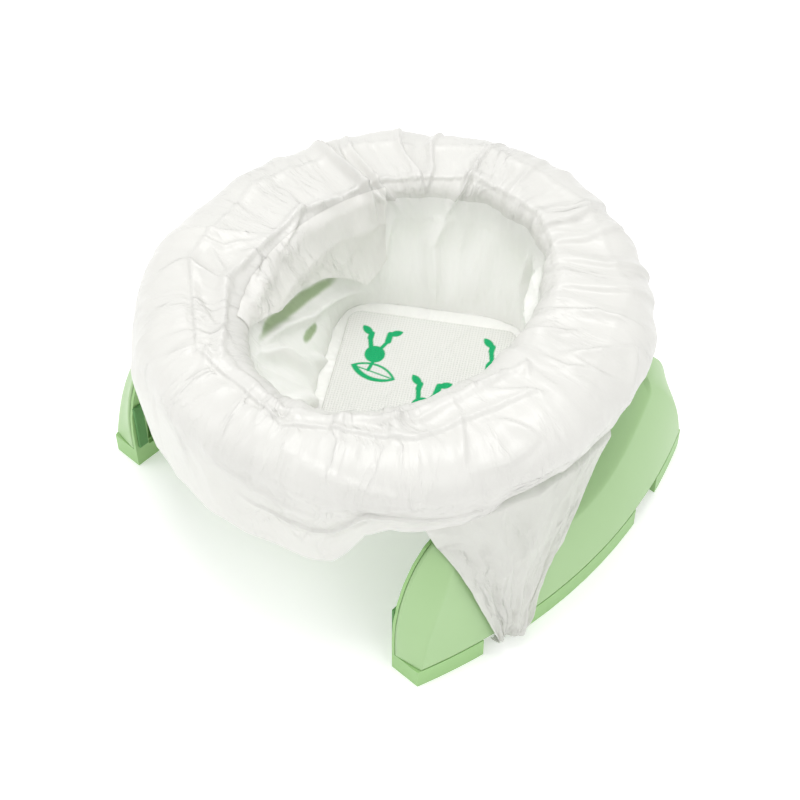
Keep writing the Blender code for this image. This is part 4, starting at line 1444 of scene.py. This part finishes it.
@dataclass
class Fittings:
    """The CAD nodes that stay as they are: ring, base, frames, latches, screws, pins and grips."""

    edge_break: float = 0.35  # mm, the radius that a mould leaves on an edge

    def dress(self, words: Sequence[str], finish: object, soften: bool) -> int:
        """Gives a finish to every CAD node whose name holds one of the words.

        Args:
            words: parts of node names.
            finish: the finish to build.
            soften: whether its edges get a small radius.

        Returns:
            How many nodes were dressed.
        """
        material = finish.material()
        dressed = 0
        for name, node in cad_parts.items():
            if not any(word in name for word in words) or node.hide_render:
                continue
            node.data.materials.clear()
            node.data.materials.append(material)
            if soften:
                bevel = node.modifiers.new("edge break", "BEVEL")
                bevel.width = self.edge_break * MM
                bevel.segments = 2
                bevel.limit_method = "ANGLE"
                bevel.angle_limit = math.radians(40)
            dressed += 1
        return dressed

    def build(self) -> None:
        """Dresses every kept node."""
        groups = (
            (("seat_ring", "latch_button"), COVER_GREEN, "shell_green", False),
            (("seat_base", "leg_frame"), FRAME_GREEN, "frame_green", False),
            (("screw", "hinge_pin"), ZINC, "steel", False),
            (("grip_pad",), GRIP_RUBBER, "rubber", True),
        )
        for words, finish, slot, soften in groups:
            log.info("%s: %d CAD nodes", finish.name, self.dress(words, finish, soften))


# ---------------------------------------------------------------- studio


@dataclass
class Studio:
    """A plain pale floor, soft light and the camera."""

    eye: tuple[float, float, float] = (0.4491, -0.4818, 0.7820)
    target: tuple[float, float, float] = (0.0203, -0.0204, 0.0750)
    lens: float = 75.44
    floor_radius: float = 3.0

    def camera(self) -> None:
        """Sets the camera."""
        data = bpy.data.cameras.new("camera")
        data.lens = self.lens
        data.sensor_width = 36.0
        data.clip_start = 0.01
        held = bpy.data.objects.new("camera", data)
        look = Vector(self.target) - Vector(self.eye)
        held.matrix_world = Matrix.Translation(self.eye) @ look.to_track_quat("-Z", "Y").to_matrix().to_4x4()
        bpy.context.scene.collection.objects.link(held)
        bpy.context.scene.camera = held

    def lamp(self, name: str, place: Sequence[float], size: float, power: float) -> None:
        """Adds a square soft box that looks at the chair.

        Args:
            name: the lamp's name.
            place: where it hangs, in metres.
            size: its side in metres.
            power: watts.
        """
        data = bpy.data.lights.new(name, "AREA")
        data.shape = "SQUARE"
        data.size = size
        data.energy = power
        lamp = bpy.data.objects.new(name, data)
        look = Vector((0, 0, 0.08)) - Vector(place)
        lamp.matrix_world = Matrix.Translation(place) @ look.to_track_quat("-Z", "Y").to_matrix().to_4x4()
        bpy.context.scene.collection.objects.link(lamp)

    def build(self) -> None:
        """Builds the floor, the world's light and the lamps."""
        bm = bmesh.new()
        bmesh.ops.create_circle(bm, cap_ends=True, segments=96, radius=self.floor_radius)
        material, output = fresh_material("matt paper sweep")
        skin = add_node(
            material.node_tree,
            "ShaderNodeBsdfPrincipled",
            {
                "Base Color": linear("#FAFAFA"),
                "Roughness": 0.9,
                "Specular IOR Level": 0.1,
                "Emission Color": linear("#FFFFFF"),
                "Emission Strength": 0.25,
            },
        )
        material.node_tree.links.new(skin.outputs["BSDF"], output.inputs["Surface"])
        floor = finished(bm, "floor", material)
        world = bpy.data.worlds.new("white room")
        world.use_nodes = True
        world.node_tree.nodes.clear()
        sky = add_node(world.node_tree, "ShaderNodeBackground", {"Color": (1.0, 1.0, 1.0, 1.0), "Strength": 0.79})
        out = add_node(world.node_tree, "ShaderNodeOutputWorld")
        world.node_tree.links.new(sky.outputs["Background"], out.inputs["Surface"])
        bpy.context.scene.world = world
        bpy.context.scene.view_settings.view_transform = "Standard"
        self.lamp("soft box overhead", (-0.1, 0.1, 1.3), 0.7, 6.0)
        self.lamp("soft box over the front left", (-0.8, -1.0, 1.1), 1.0, 4.2)
        self.lamp("soft box over the right", (1.2, -0.2, 1.1), 0.8, 3.0)
        self.camera()


def main() -> None:
    """Builds every piece in order and reports it."""
    logging.basicConfig(level=logging.INFO, format="%(message)s")
    Studio().build()
    lie = FilmLie()
    bag = LinerBag(lie)
    legs = {side: Leg(side) for side in Side}
    pieces = [leg.cover() for leg in legs.values()]
    pieces.append(bag.cuff())
    body = bag.body()
    pieces += [bag.half(body, side) for side in Side]
    body.free()
    pieces.append(LinerFlap(bag).build())
    pieces += [LinerHandle(side, legs[side]).build() for side in Side]
    pieces += [AbsorbentPad().half(side) for side in Side]
    pieces += [LatchSpring(side).build() for side in Side]
    Fittings().build()
    for piece in pieces:
        log.info("%s: %d faces, %.4f m2", piece.name, len(piece.data.polygons), mesh_area(piece))


if __name__ == "__main__":
    main()
